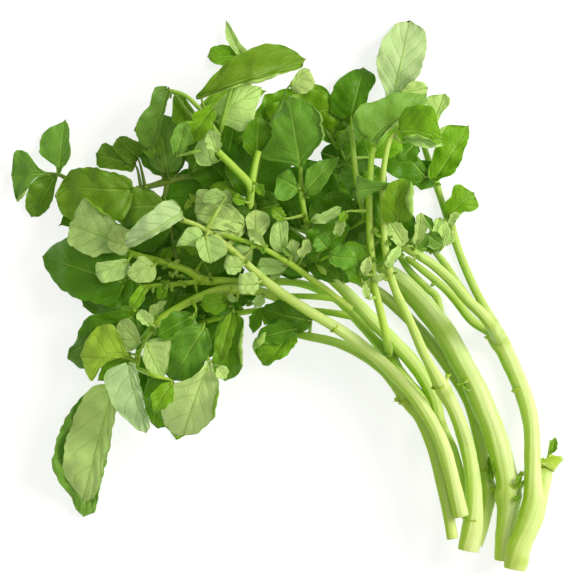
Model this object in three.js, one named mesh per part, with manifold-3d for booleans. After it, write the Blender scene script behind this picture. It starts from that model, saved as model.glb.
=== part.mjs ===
// A cut bunch of watercress lying on a flat surface.
// Units are millimetres and +Z is up. The bunch lies in the XY plane as it is seen from above:
// the thick cut ends are at the lower right (+X, -Y) and the leaves fan out to the upper left.
// Each leafy stem is one solid: its main stem, its side branches, its leaf stalks and its blades.
// The leafy stems are laid down one after another, and each one rests on those under it.
import * as THREE from "three";
import Module from "manifold-3d";

const wasm = await Module();
wasm.setup();

// Driving dimensions.
const BLADE_THICKNESS = 0.9;
const STALK_RADIUS = 0.85;
const STALK_END_RADIUS = 0.42;
const SHORTEST_STALK = 1.2;
const ROOT_SHARE = 0.6;
const STALK_SIDES = 4;
const STALK_STEP = 10;
const THICK_STEM_SIDES = 8;
const THICK_STEM_RADIUS = 3;
const STEM_SIDES = 6;
const THIN_STEM_RADIUS = 1.9;
const THIN_STEM_SIDES = 5;
const FLAT_SIDE_SHARE = Math.cos(Math.PI / THICK_STEM_SIDES);
const RING_SPACING = 13;
const SINK_INTO_FLOOR = 0.12;
const CLEARANCE = 0.5;
const STEM_SAG = 0.0035;
const BLADE_SAG = 0.012;
const STALK_SAG = 0.05;
const BRANCH_DROP = 0.1;
const SAMPLE_STEP = 0.8;
const FINE_STEP = 0.5;
const BLADE_SAMPLES = 20;
const PILE_HALF_SIZE = 130;
const BUNCH_CENTRE_X = -1;
const BUNCH_CENTRE_Y = -4;

// Blades are rounded, with a narrow blunt base and tip.
const LEAST_SHARE = 0.25;
const ROUNDNESS = 2.3;
const OUTLINE_POWER = 0.88;
const TAPER_SHIFT = 0.35;

// No two blades lie alike. These are shares of a blade's length, or of half its width.
const BEND_RANGE = 0.1;
const RISE_RANGE = 0.35;
const RISE_MIDDLE = 0.35;
const LEAST_ARCH = 0.05;
const ARCH_RANGE = 0.1;
const ROLL_RANGE = 0.7;
const WAVE_HEIGHT = 0.14;
const WAVES_ALONG = 1.7;
const WAVE_SKEW = 0.3;

// Where along a blade, from base (0) to tip (1), its cross sections stand.
const LARGE_BLADE_STATIONS = [0, 0.12, 0.34, 0.62, 0.88, 1];
const MIDDLE_BLADE_STATIONS = [0, 0.16, 0.5, 0.84, 1];
const SMALL_BLADE_STATIONS = [0, 0.22, 0.78, 1];
const LARGE_BLADE_LENGTH = 27;
const SMALL_BLADE_LENGTH = 16;

// Stem and branch routes are [x, y, radius] points from the root end to the growing tip.
// Blades are [base x, base y, tip x, tip y, width, fold, taper], in the order they are laid down.
// A positive fold lifts both edges, a negative one lets them droop, as a share of half the width.
// A blade with a taper narrows towards its tip, and one without is rounded at both ends.
const LEAFY_STEMS = [
  {
    name: "leafy_stem_01",
    colour: 0x5f8f22,
    stems: [
      [[76.5, -104, 2.8], [79.5, -95, 2.7], [81.5, -83, 3.3], [80, -75, 2.5],
        [77.5, -60, 2.5], [73, -45, 2.5], [65, -32, 2.5], [55, -19, 2.4], [40, -4.5, 2.3],
        [24, 6, 2], [10, 16, 1.8], [-5, 28, 1.7], [-18, 40, 1.5], [-27, 44.5, 1.4],
        [-42, 44, 1.4], [-48, 42.5, 1.6], [-55, 40.5, 1.2], [-65, 38, 1.1], [-75, 36.2, 1]],
      [[81.5, -83, 1.2], [83.3, -75, 0.9], [83, -68, 0.9]],
      [[-48, 42.5, 1.1], [-49.5, 35, 0.9]],
    ],
    blades: [
      [-24, 38, -30, 8, 24, 0.1], [-46, 24, -58, 2, 22, 0.1], [-42, 0, -58, -10, 16, 0.1],
      [-44, 46, -58, 62, 16, 0.1], [-30, 44, -48, 20, 26, 0.1], [-22, 41, -36, 57, 18, 0.1],
      [-62, 38, -54, 14, 20, -0.1], [-93, 45, -103, 28, 13, 0.2, 0.2],
      [-92, 46, -89.5, 67.5, 13, 0.25],
      [-93, 45.5, -111, 45, 21, 0.3], [-50, 32, -70, 30, 15, 0.15],
      [-61, 49, -77, 53, 15, -0.2], [-60, 52, -68, 60, 7, 0.2], [-48, 46, -50, 69, 17, -0.15],
      [-52, 52, -57, 70, 9, 0.2], [-63, 38.5, -93, 40, 24, 0.12],
    ],
  },
  {
    name: "leafy_stem_02",
    colour: 0xb4d46a,
    stems: [
      [[88, -110, 4.4], [88.5, -100, 4.5], [89.3, -90, 4.6], [89.2, -84, 5.4], [88.8, -78, 4.8],
        [84, -60, 4.9], [80, -50, 4.9], [75.5, -40, 4.8], [70, -30, 4.7],
        [64, -19, 4.6], [55, -7.5, 4.5], [47, 1, 4.2], [38, 8, 2.6], [24, 15, 2.1],
        [10, 22, 1.9], [-2, 27, 1.8], [-14, 34, 1.7], [-15, 41, 1.4], [-20, 46.5, 1.3],
        [-28.5, 56, 1.1]],
      [[92.5, -83, 1.2], [94, -76, 0.9]],
      [[66, -17, 1.5], [61, -5, 1.5], [57, -1, 1.5], [50, 6, 1.5], [46, 12, 1.5],
        [38, 24, 1.3], [30, 38, 1.2], [24, 50, 1]],
      [[-14, 36, 1.3], [-14, 43, 1.2], [-13, 50, 1], [-11.5, 54, 1]],
    ],
    blades: [
      [-14, 36, -8, 60, 24, 0.1], [2, 26, 14, 50, 24, 0.1], [22, 16, 18, 38, 20, 0.1],
      [40, 12, 28, 36, 20, 0.1], [24, 50, 34, 64, 16, 0.1], [44, 14, 46, 34, 12, 0.1],
      [36, 34, 24, 50, 16, 0.1], [-2, 26, -18, 12, 18, 0.1],
      [-6, 66, 26, 74, 18, -0.15], [-11.5, 52, -14, 64, 9, 0.2], [-3, 33, -12, 31, 7, 0.2],
      [-42, 77, -39, 61, 9, 0.2], [-46, 78, -55, 54.5, 9, 0.35],
      [-30, 56.5, -31, 72, 12, 0.25], [-28, 50, -33, 66, 9, -0.2], [-28.5, 67, -10, 80, 14, 0.15],
      [-16, 93, -32, 93, 9, 0.15], [-18, 94, -24.5, 107.5, 5.5, 0.3, 0.5],
      [-34, 76, 8, 91.5, 19, 0.3, 0.35], [1, 80, 9, 87, 8, 0.2], [22, 55, 24, 63, 6, 0.2],
    ],
  },
  {
    name: "leafy_stem_03",
    colour: 0xa9d255,
    stems: [
      [[91, -114, 3.6], [94, -105, 3.7], [97.8, -95, 3.5], [98.7, -85, 3.4], [98.9, -70, 3.3],
        [98.4, -55, 3.4], [95, -42, 3.5], [88, -26, 3.6],
        [84.5, -20, 3.9], [79, -7, 1.9], [75.5, 0, 1.8], [70, 13, 1.7], [65.5, 27, 1.8],
        [62.5, 35, 1.4], [60, 43, 1.6], [56, 55, 1.2], [54, 60, 1], [47, 69, 0.9],
        [43, 74, 0.9]],
      [[92.5, -110, 3], [99.5, -95, 3.3], [102, -85, 3.2], [103.5, -78, 3.3], [104.5, -72, 4.2]],
      [[105, -74, 1.2], [106, -68, 1], [107, -62, 1]],
      [[86, -23, 2.4], [80, -13, 2.3], [72, -5, 2.2], [66, 2, 2.1], [60, 7.5, 2], [55, 11, 1.9],
        [50, 14, 1.8], [45, 17, 1.6], [40, 19, 1.5], [32, 27, 1.3], [28, 42, 1.2], [26, 62, 1]],
      [[84, -20, 2], [75, -14, 1.9], [70, -8, 1.8], [65, -2, 1.7], [60, 2.5, 1.6],
        [55, 6.5, 1.5], [48, 12, 1.3]],
      [[82, -15, 1.7], [76, -8, 1.6], [70, 0, 1.6], [64, 9, 1.5], [60, 14, 1.3], [57, 19, 1.1]],
    ],
    blades: [
      [46, 17, 36, 40, 18, 0.1], [60, 40, 47, 46, 16, 0.1], [26, 68, 31, 88.5, 17, 0.15],
      [56, 44, 43, 59, 16, -0.1], [43, 75, 50, 107.5, 20, 0.2], [45, 78, 57, 80, 8, 0.2],
      [60, 65, 64, 78, 8, 0.2], [60, 43.5, 73.5, 65, 12, 0.15], [64.5, 28.5, 75.5, 38, 12, 0.2],
      [60, 15, 62, 28, 7, 0.25], [52, 17, 53.5, 29.5, 4.5, 0.25], [47, 17, 41, 26, 7, 0.2],
      [65.5, 24, 69, 30, 3.5, 0.2],
    ],
  },
  {
    name: "leafy_stem_04",
    colour: 0x7fae35,
    stems: [
      [[72, -88, 2.3], [70.5, -80, 2.3], [67, -68, 2.3], [62, -57, 2.2], [57, -48, 2.2],
        [46, -35, 2.1], [35, -21, 2], [27, -12, 1.9], [20, -5, 1.8], [10, 0, 1.7],
        [0, 2, 1.6], [-10, 1.5, 1.6], [-25, 2.3, 1.5], [-33, 2.5, 1.9], [-40, 6.5, 1.5],
        [-50, 9.8, 1.4], [-60, 12.5, 1.3], [-66, 14.5, 1.1]],
      [[-33, 2.5, 1.2], [-40, 1.5, 1.1], [-50, 0.5, 1.1], [-60, 0, 1], [-66, 1.5, 1]],
      [[-55, 0.2, 1], [-60, -6, 0.9], [-62, -11, 0.9]],
    ],
    blades: [
      [-28, 2, -32, -14, 16, 0.1], [-62, 4, -82, -8, 18, 0.1], [-30, 4, -42, 22, 20, 0.1],
      [-62, -12, -89, -28, 18, 0.12], [-66, 2, -98.5, 12, 22, 0.12],
      [-66, 18, -87, 25, 22, 0.15], [-63, 17, -72, 19, 9.5, 0.2], [-63.5, 10, -76.5, 5, 9, 0.2],
      [-52.5, 8.5, -64, 5, 11, 0.2], [-57, -0.5, -62, -9, 5, 0.3], [-33, 12, -45, 12, 10, 0.15],
    ],
  },
  {
    name: "leafy_stem_05",
    colour: 0x9cc64a,
    stems: [
      [[72, -89, 2.4], [70, -78, 2.5], [66.5, -66, 2.6], [62, -56, 2.6], [59, -44, 2.8],
        [52, -32, 3], [43, -22, 2.9], [34, -13, 2.8], [27, -7, 2.6],
        [20, 0, 2.2], [14.5, 6, 1.6], [12, 11, 1.3], [9, 20, 1.2], [7.5, 28, 1.1],
        [6, 36, 1.2], [5.7, 42, 1], [5.5, 49, 0.9]],
      [[62, -56, 2.2], [57, -47, 2.1], [50, -39.5, 2], [45, -33, 2], [41.5, -27.5, 2.5],
        [35, -20.5, 1.4], [30, -15, 1.4], [25, -9.5, 1.4], [20, -4.5, 1.3], [15, -0.5, 1.3],
        [10, 3, 1.3], [0, 10, 1.2], [-10, 15.5, 1.1], [-20, 18.7, 1], [-25, 20, 0.9]],
      [[41.5, -27.5, 1.7], [39.8, -20, 1.7], [37.5, -10, 1.6], [35, 0, 1.6], [34, 10, 1.5],
        [33.2, 20, 1.5], [33, 30, 1.4], [33, 38, 1.4], [33.7, 50, 1.2], [34.8, 56, 1.1]],
    ],
    blades: [
      [-12, 18, -30, 30, 18, 0.1], [8, 8, -8, 22, 16, 0.1], [12, 10, 22, 28, 14, 0.1],
      [30, 2, 24, 18, 12, 0.1],
      [-22, 34, -37, 33, 12, 0.2], [-17, 24, -36, 25, 12, 0.2], [-11.5, 16.5, -12.5, 31, 10, 0.2],
      [-1, 14.5, -3, 27, 8, 0.25, 0.4], [-1, 27, -6, 31, 5, 0.2], [0, 8, -12, 8, 6, 0.2],
      [3, 9, 2, 19, 6, 0.2], [6, 11, 9, 19, 5, 0.2],
      [10, 26, 22, 31.5, 4.5, 0.2], [16, 15.5, 12, 20, 7, 0.2], [17, 12, 28, 11, 8, 0.15],
      [20, 20, 22, 27, 4, 0.2], [7, 38, 21, 52, 10, 0.3, 0.35], [5, 39, -4, 44, 10, 0.25],
      [5.5, 48.5, 1, 76, 25, -0.1], [35, 56, 56, 77, 17, 0.15],
    ],
  },
  {
    name: "leafy_stem_06",
    colour: 0xc0dd7a,
    stems: [
      [[73, -106, 4.4], [75, -94.5, 4.3], [75.3, -85, 3.6], [74.5, -75, 3.3],
        [72.7, -65, 3.2], [69.5, -55, 3], [66, -47, 2.9], [62, -40, 3.1], [57.5, -32, 2.1],
        [54, -25, 2], [50.5, -17, 1.9], [46.8, -9, 1.8], [43.5, -2, 1.7], [41.2, 5, 1.6],
        [39.7, 12, 1.5], [38.8, 20, 1.4], [38.4, 32, 1.3], [38.3, 44, 1.2], [40.5, 57, 1.1],
        [44, 61.5, 1]],
      [[63, -42, 1.1], [64.3, -36, 0.9]],
      [[41.5, 5, 0.9], [38.5, 3.5, 0.8], [37, 2.2, 0.8]],
    ],
    blades: [
      [42, 39.5, 27, 38, 11, 0.2], [44, 26, 44, 43, 12, 0.2], [40, 8, 45.5, 16, 4, 0.2],
      [46, 57, 62, 60, 8, 0.15], [44.5, 61.5, 62, 58, 14, 0.25],
    ],
  },
  {
    name: "leafy_stem_07",
    colour: 0x8fbf40,
    stems: [
      [[69.5, -90, 2.2], [67.5, -82, 2.2], [64.5, -70, 2.2], [60.5, -59, 2.2],
        [51, -44, 2.2], [40, -32, 2.2], [30, -23.5, 2.2], [20, -16.5, 2.1], [12, -12, 2.1],
        [5, -8.5, 2], [-5, -4, 1.9], [-12, -1.8, 1.9], [-21.5, -1, 2.2], [-30, -2.3, 1.8],
        [-40, -6.5, 1.6], [-50, -12.5, 1.5], [-55, -18, 1.5], [-58.5, -23, 1.4],
        [-60, -29, 1.2], [-60.3, -33, 1]],
      [[5, -8.5, 1.3], [-4, -9, 1.3], [-15, -10, 1.2], [-25, -12, 1.2], [-35, -15, 1.1],
        [-45, -19.5, 1]],
      [[-35, -15, 1], [-33, -24, 0.9], [-31.5, -31, 0.9]],
      [[-60, -29, 1.1], [-65, -37, 1], [-70, -42, 0.9]],
    ],
    blades: [
      [-22, -8, -33, -8, 7, 0.15], [-50, -37, -54, -57, 11, 0.1], [-22, -11.5, -24, -38, 12, 0.35],
      [-33, -16, -46, -38, 19, -0.1], [-31, -31, -42, -61, 27, 0.12, 0.15], [-47, -17, -38, -9, 8, 0.2],
      [-53.5, -15, -47, -6, 8, 0.2], [-54, -15, -59, -9.5, 5, 0.2],
      [-58.5, -22.5, -67, -13.5, 8, 0.2], [-73, -44, -82, -93, 23, 0.1, 0.3],
      [-70, -43, -82, -87, 22, 0.15, 0.3], [-60.5, -30, -83, -28, 20, 0.15],
      [-57.5, -22.5, -51, -36.5, 11, 0.2, 0.3], [-61, -31, -56, -58.5, 19, 0.12, 0.6],
    ],
  },
  {
    name: "leafy_stem_08",
    colour: 0xa8cc58,
    stems: [
      [[66.5, -101, 2.3], [63.5, -92, 2.3], [60.5, -82, 2.3], [58, -72, 2.3], [55.5, -62, 2.3],
        [52.5, -53, 2.3], [48.5, -46.5, 2.4], [43, -38.5, 2.2], [38, -33, 2.1], [30, -27.2, 2],
        [20, -22.6, 1.9], [10, -20.3, 1.7], [2, -19, 1.3]],
      [[49, -47, 1.6], [46.5, -46.2, 1.4], [44.8, -45.3, 1.3]],
    ],
    blades: [
      [10, -14, -10, -9, 11, 0.1], [2, -19, -9, -32, 16, 0.12], [4, -17, -12, -21, 8, 0.2],
    ],
  },
  {
    name: "leafy_stem_09",
    colour: 0xd2eb9a,
    stems: [
      [[70, -92, 3.1], [64.5, -70, 3], [60.5, -59, 2.9], [55.5, -50, 2.8],
        [49.5, -42, 2.7], [40, -32, 2.6], [30, -23.5, 2.5], [20, -16.5, 2.3], [10, -10.5, 2.1],
        [0, -4, 2], [-10, 3.5, 1.8], [-20, 13, 1.4], [-30, 21, 1.2], [-35, 24, 1.1],
        [-40, 26, 1], [-44, 27, 0.9]],
    ],
    blades: [
      [-33, 19, -44, 16, 8, 0.2], [-32, 20, -30, 9, 10, 0.2], [-18, 8, -25, 9, 7, 0.2],
      [-11, 1.5, -19.5, 1, 9, 0.1], [-41, 27.5, -64, 16, 13, 0.3, 0.1],
    ],
  },
];

// The pile so far is the height of its top over a grid of one-millimetre cells.
const PILE_SIZE = 2 * PILE_HALF_SIZE + 1;

function newHeights() {
  return new Float64Array(PILE_SIZE * PILE_SIZE).fill(-SINK_INTO_FLOOR - CLEARANCE);
}

function cellIndex(x, y) {
  const column = Math.min(PILE_SIZE - 1, Math.max(0, Math.round(x) + PILE_HALF_SIZE));
  const row = Math.min(PILE_SIZE - 1, Math.max(0, Math.round(y) + PILE_HALF_SIZE));
  return row * PILE_SIZE + column;
}

function highestAround(heights, x, y) {
  let highest = -Infinity;
  for (let dx = -1; dx <= 1; dx += 1) {
    for (let dy = -1; dy <= 1; dy += 1) {
      highest = Math.max(highest, heights[cellIndex(x + dx, y + dy)]);
    }
  }
  return highest;
}

function raiseTo(heights, x, y, z) {
  const cell = cellIndex(x, y);
  heights[cell] = Math.max(heights[cell], z);
}

// A repeatable draw between 0 and 1 for one blade and one of these purposes.
const DRAW_FOR = { bend: 1, rise: 2, arch: 3, roll: 4, wave: 5 };
const BLADE_FACTOR = 12.9898;
const PURPOSE_FACTOR = 78.233;
const SCATTER_FACTOR = 43758.5453;

function draw(blade, purpose) {
  const angle = blade * BLADE_FACTOR + DRAW_FOR[purpose] * PURPOSE_FACTOR;
  const wide = Math.sin(angle) * SCATTER_FACTOR;
  return wide - Math.floor(wide);
}

function mix(a, b, share) {
  return a + (b - a) * share;
}

// Rings along a smooth route through the given [x, y, radius] points, with more on a long reach.
function smoothRoute(points) {
  const curve = new THREE.CatmullRomCurve3(
    points.map(([x, y, radius]) => new THREE.Vector3(x, y, radius)), false, "catmullrom", 0.5);
  const reaches = points.length - 1;
  const route = [];
  for (let i = 0; i < reaches; i += 1) {
    const reach = Math.hypot(points[i + 1][0] - points[i][0], points[i + 1][1] - points[i][1]);
    const steps = Math.max(1, Math.round(reach / RING_SPACING));
    for (let k = 0; k < steps; k += 1) {
      route.push(curve.getPoint((i + k / steps) / reaches));
    }
  }
  route.push(curve.getPoint(1));
  return route.map((p) => ({ x: p.x, y: p.y, radius: p.z }));
}

function distanceAlong(route) {
  const along = [0];
  for (let i = 1; i < route.length; i += 1) {
    along.push(along[i - 1] + Math.hypot(route[i].x - route[i - 1].x, route[i].y - route[i - 1].y));
  }
  return along;
}

// The least centre height of a tube of this radius at one place that clears the pile.
function tubeHeightOver(heights, x, y, radius) {
  let height = -Infinity;
  const reach = radius + CLEARANCE;
  for (let dx = -reach; dx <= reach; dx += FINE_STEP) {
    for (let dy = -reach; dy <= reach; dy += FINE_STEP) {
      const flat = Math.hypot(dx, dy);
      if (flat <= reach) {
        const round = Math.sqrt(Math.max(0, radius * radius - flat * flat));
        const drop = Math.min(round, FLAT_SIDE_SHARE * radius);
        height = Math.max(height, heights[cellIndex(x + dx, y + dy)] + CLEARANCE + drop);
      }
    }
  }
  return height;
}

// Gives each route point the height at which the tube lies on the pile, bending gently.
// The start stays where the parent stem holds it, and the end too where one is given.
function layRoute(heights, route, sag, start, end) {
  const along = distanceAlong(route);
  const total = along[along.length - 1];
  const needs = [];
  for (let i = 0; i + 1 < route.length; i += 1) {
    const steps = Math.max(1, Math.ceil((along[i + 1] - along[i]) / SAMPLE_STEP));
    for (let k = 0; k < steps; k += 1) {
      const share = k / steps;
      const distance = mix(along[i], along[i + 1], share);
      const radius = mix(route[i].radius, route[i + 1].radius, share);
      const free = start ? start.radius + radius : 0;
      if (distance >= free) {
        const x = mix(route[i].x, route[i + 1].x, share);
        const y = mix(route[i].y, route[i + 1].y, share);
        needs.push({ distance, height: tubeHeightOver(heights, x, y, radius) });
      }
    }
  }
  route.forEach((point, i) => {
    let z = FLAT_SIDE_SHARE * point.radius - SINK_INTO_FLOOR;
    if (start && end) {
      z = mix(start.z, end.z, along[i] / total);
    } else if (start) {
      z = Math.max(z, start.z - sag * along[i] * along[i] - BRANCH_DROP * along[i]);
    }
    needs.forEach((need) => {
      const apart = along[i] - need.distance;
      z = Math.max(z, need.height - sag * apart * apart);
    });
    point.z = z;
  });
  if (start) {
    route[0].z = start.z;
  }
  if (end) {
    route[route.length - 1].z = end.z;
  }
}

function raiseTube(heights, route) {
  const along = distanceAlong(route);
  for (let i = 0; i + 1 < route.length; i += 1) {
    const steps = Math.max(1, Math.ceil((along[i + 1] - along[i]) / FINE_STEP));
    for (let k = 0; k <= steps; k += 1) {
      const share = k / steps;
      const radius = mix(route[i].radius, route[i + 1].radius, share);
      const x = mix(route[i].x, route[i + 1].x, share);
      const y = mix(route[i].y, route[i + 1].y, share);
      const z = mix(route[i].z, route[i + 1].z, share);
      for (let dx = -radius; dx <= radius; dx += FINE_STEP) {
        for (let dy = -radius; dy <= radius; dy += FINE_STEP) {
          const flat = dx * dx + dy * dy;
          if (flat <= radius * radius) {
            raiseTo(heights, x + dx, y + dy, z + Math.sqrt(radius * radius - flat));
          }
        }
      }
    }
  }
}

function solidFrom(vertices, triangles) {
  return new wasm.Manifold(new wasm.Mesh({
    numProp: 3,
    vertProperties: Float32Array.from(vertices.flat()),
    triVerts: Uint32Array.from(triangles.flat()),
  }));
}

// A closed tube with a flat side underneath. Its rings stand upright across the route, or lean
// with it where the route is steep.
function tubeSolid(route, sides, leaning) {
  const vertices = [];
  const triangles = [];
  route.forEach((point, i) => {
    const before = route[Math.max(0, i - 1)];
    const after = route[Math.min(route.length - 1, i + 1)];
    const length = Math.hypot(after.x - before.x, after.y - before.y);
    const alongX = (after.x - before.x) / length;
    const alongY = (after.y - before.y) / length;
    const slope = leaning ? Math.atan2(after.z - before.z, length) : 0;
    for (let k = 0; k < sides; k += 1) {
      const angle = ((k + 0.5) / sides) * 2 * Math.PI - Math.PI / 2;
      const side = point.radius * Math.cos(angle);
      const up = point.radius * Math.sin(angle);
      const back = up * Math.sin(slope);
      vertices.push([
        point.x - side * alongY - back * alongX, point.y + side * alongX - back * alongY,
        point.z + up * Math.cos(slope)]);
    }
  });
  for (let i = 0; i + 1 < route.length; i += 1) {
    for (let k = 0; k < sides; k += 1) {
      const a = i * sides + k;
      const b = i * sides + ((k + 1) % sides);
      triangles.push([a, b, b + sides], [a, b + sides, a + sides]);
    }
  }
  const last = (route.length - 1) * sides;
  for (let k = 1; k + 1 < sides; k += 1) {
    triangles.push([0, k + 1, k], [last, last + k, last + k + 1]);
  }
  return solidFrom(vertices, triangles);
}

// The outline of a rounded blade: its half width as a share of the widest, from base to tip.
function halfWidthShare(t, taper) {
  const spread = Math.abs(2 * t ** (OUTLINE_POWER - TAPER_SHIFT * taper) - 1);
  const rounded = (1 - spread ** ROUNDNESS) ** (1 / ROUNDNESS);
  return Math.max(LEAST_SHARE, rounded * (1 - taper * t * t));
}

function bladeStations(length) {
  if (length < SMALL_BLADE_LENGTH) {
    return SMALL_BLADE_STATIONS;
  }
  return length < LARGE_BLADE_LENGTH ? MIDDLE_BLADE_STATIONS : LARGE_BLADE_STATIONS;
}

// One blade's place and form before it is laid down; heights are relative to its base.
function bladeForm(blade, number) {
  const [baseX, baseY, tipX, tipY, width, fold, taper = 0] = blade;
  const length = Math.hypot(tipX - baseX, tipY - baseY);
  const alongX = (tipX - baseX) / length;
  const alongY = (tipY - baseY) / length;
  return {
    baseX, baseY, alongX, alongY, length, width, fold, taper,
    stations: bladeStations(length),
    bend: (draw(number, "bend") - 0.5) * BEND_RANGE * length,
    rise: (draw(number, "rise") - RISE_MIDDLE) * RISE_RANGE * length,
    arch: (LEAST_ARCH + ARCH_RANGE * draw(number, "arch")) * length,
    roll: (draw(number, "roll") - 0.5) * ROLL_RANGE,
    wavePhase: draw(number, "wave"),
  };
}

// A point of the blade: t runs from base to tip, s from the right edge (-1) to the left one (1).
function bladePoint(form, t, s) {
  const half = 0.5 * form.width * halfWidthShare(t, form.taper);
  const sideways = s * half + form.bend * Math.sin(Math.PI * t);
  const turn = WAVES_ALONG * t + WAVE_SKEW * s + form.wavePhase;
  const wave = WAVE_HEIGHT * half * Math.sin(2 * Math.PI * turn);
  return {
    x: form.baseX + form.alongX * form.length * t - form.alongY * sideways,
    y: form.baseY + form.alongY * form.length * t + form.alongX * sideways,
    spine: form.rise * t + form.arch * Math.sin(Math.PI * t),
    cross: form.fold * half * Math.abs(s) + form.roll * half * s + wave * s * s,
  };
}

// Heights of the midrib at each station so that the whole blade clears the pile.
function layBlade(heights, form) {
  const needs = [];
  const steps = Math.max(4, Math.ceil(form.length / SAMPLE_STEP));
  const strips = Math.max(2, Math.ceil(form.width / SAMPLE_STEP / 2));
  for (let i = 0; i <= steps; i += 1) {
    const t = i / steps;
    const last = form.stations.length - 2;
    const first = Math.min(last, form.stations.filter((station) => station <= t).length - 1);
    const from = form.stations[first];
    const to = form.stations[first + 1];
    const share = (t - from) / (to - from);
    let lift = -Infinity;
    for (let k = -strips; k <= strips; k += 1) {
      const side = k < 0 ? -1 : 1;
      const out = Math.abs(k) / strips;
      const corners = [[from, 0], [to, 0], [from, side], [to, side]].map(([station, s]) =>
        bladePoint(form, station, s));
      const blend = (name) => mix(
        mix(corners[0][name], corners[1][name], share),
        mix(corners[2][name], corners[3][name], share), out);
      const top = highestAround(heights, blend("x"), blend("y"));
      const under = blend("spine") + blend("cross") - BLADE_THICKNESS / 2;
      lift = Math.max(lift, top + CLEARANCE - under);
    }
    needs.push({ distance: t * form.length, lift });
  }
  return form.stations.map((station) => {
    let lift = -Infinity;
    needs.forEach((need) => {
      const apart = station * form.length - need.distance;
      lift = Math.max(lift, need.lift - BLADE_SAG * apart * apart);
    });
    return lift;
  });
}

function bladeRows(form, lifts) {
  return form.stations.map((station, i) => [1, 0, -1].map((s) => {
    const point = bladePoint(form, station, s);
    return [point.x, point.y, point.spine + point.cross + lifts[i]];
  }));
}

// A closed blade: both faces are split into the same triangles, a constant height apart.
function bladeSolid(rows) {
  const vertices = [];
  const triangles = [];
  const half = BLADE_THICKNESS / 2;
  rows.forEach((row) => {
    row.forEach(([x, y, z]) => vertices.push([x, y, z + half]));
    row.forEach(([x, y, z]) => vertices.push([x, y, z - half]));
  });
  for (let i = 0; i + 1 < rows.length; i += 1) {
    const a = 6 * i;
    const b = a + 6;
    const upper = [
      [a + 1, b + 1, b], [a + 1, b, a], [a + 2, b + 2, b + 1], [a + 2, b + 1, a + 1]];
    upper.forEach(([p, q, r]) => triangles.push([p, q, r], [p + 3, r + 3, q + 3]));
    triangles.push([a, b, b + 3], [a, b + 3, a + 3]);
    triangles.push([a + 2, b + 5, b + 2], [a + 2, a + 5, b + 5]);
  }
  const tip = 6 * (rows.length - 1);
  triangles.push([1, 0, 3], [1, 3, 4], [2, 1, 4], [2, 4, 5]);
  triangles.push([tip + 1, tip + 3, tip], [tip + 1, tip + 4, tip + 3]);
  triangles.push([tip + 2, tip + 4, tip + 1], [tip + 2, tip + 5, tip + 4]);
  return solidFrom(vertices, triangles);
}

function raiseBlade(heights, rows) {
  for (let i = 0; i + 1 < rows.length; i += 1) {
    for (let k = 0; k < 2; k += 1) {
      for (let u = 0; u <= BLADE_SAMPLES; u += 1) {
        for (let v = 0; v <= BLADE_SAMPLES; v += 1) {
          const [x, y, z] = [0, 1, 2].map((axis) => mix(
            mix(rows[i][k][axis], rows[i][k + 1][axis], v / BLADE_SAMPLES),
            mix(rows[i + 1][k][axis], rows[i + 1][k + 1][axis], v / BLADE_SAMPLES),
            u / BLADE_SAMPLES));
          raiseTo(heights, x, y, z + BLADE_THICKNESS / 2);
        }
      }
    }
  }
}

function stemSides(radius) {
  if (radius < THIN_STEM_RADIUS) {
    return THIN_STEM_SIDES;
  }
  return radius < THICK_STEM_RADIUS ? STEM_SIDES : THICK_STEM_SIDES;
}

// The nearest point on the centre lines of a leafy stem's own stems.
function nearestOnStems(routes, x, y) {
  let best = null;
  routes.forEach((route) => {
    for (let i = 0; i + 1 < route.length; i += 1) {
      const a = route[i];
      const b = route[i + 1];
      const lengthSquared = (b.x - a.x) ** 2 + (b.y - a.y) ** 2;
      const raw = ((x - a.x) * (b.x - a.x) + (y - a.y) * (b.y - a.y)) / lengthSquared;
      const share = Math.min(1, Math.max(0, raw));
      const point = {
        x: mix(a.x, b.x, share), y: mix(a.y, b.y, share), z: mix(a.z, b.z, share),
        radius: mix(a.radius, b.radius, share),
      };
      point.distance = Math.hypot(point.x - x, point.y - y);
      if (best === null || point.distance < best.distance) {
        best = point;
      }
    }
  });
  return best;
}

// The stalk runs from the stem's centre line to the blade's base and a little way inside it.
function stalkRoute(heights, stemPoint, rows) {
  const base = rows[0][1];
  const inner = rows[1][1];
  const length = Math.hypot(base[0] - stemPoint.x, base[1] - stemPoint.y);
  const count = Math.max(1, Math.round(length / STALK_STEP));
  const route = [];
  for (let i = 0; i <= count; i += 1) {
    const share = i / count;
    route.push({
      x: mix(stemPoint.x, base[0], share), y: mix(stemPoint.y, base[1], share),
      radius: i < count ? STALK_RADIUS : STALK_END_RADIUS,
    });
  }
  if (length > SHORTEST_STALK) {
    layRoute(heights, route, STALK_SAG, stemPoint, { z: base[2] });
  } else {
    route.splice(0, route.length, { ...stemPoint, radius: STALK_RADIUS });
  }
  const [x, y, z] = [0, 1, 2].map((axis) => mix(base[axis], inner[axis], ROOT_SHARE));
  route.push({ x, y, z, radius: STALK_END_RADIUS });
  return route;
}

// Where pieces join, a stalk can seal a small hollow against a blade: only the outer body is
// kept, so such a hollow is filled.
function outerBody(solid) {
  const bodies = solid.decompose();
  return bodies.reduce((best, body) => (body.volume() > best.volume() ? body : best));
}

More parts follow.
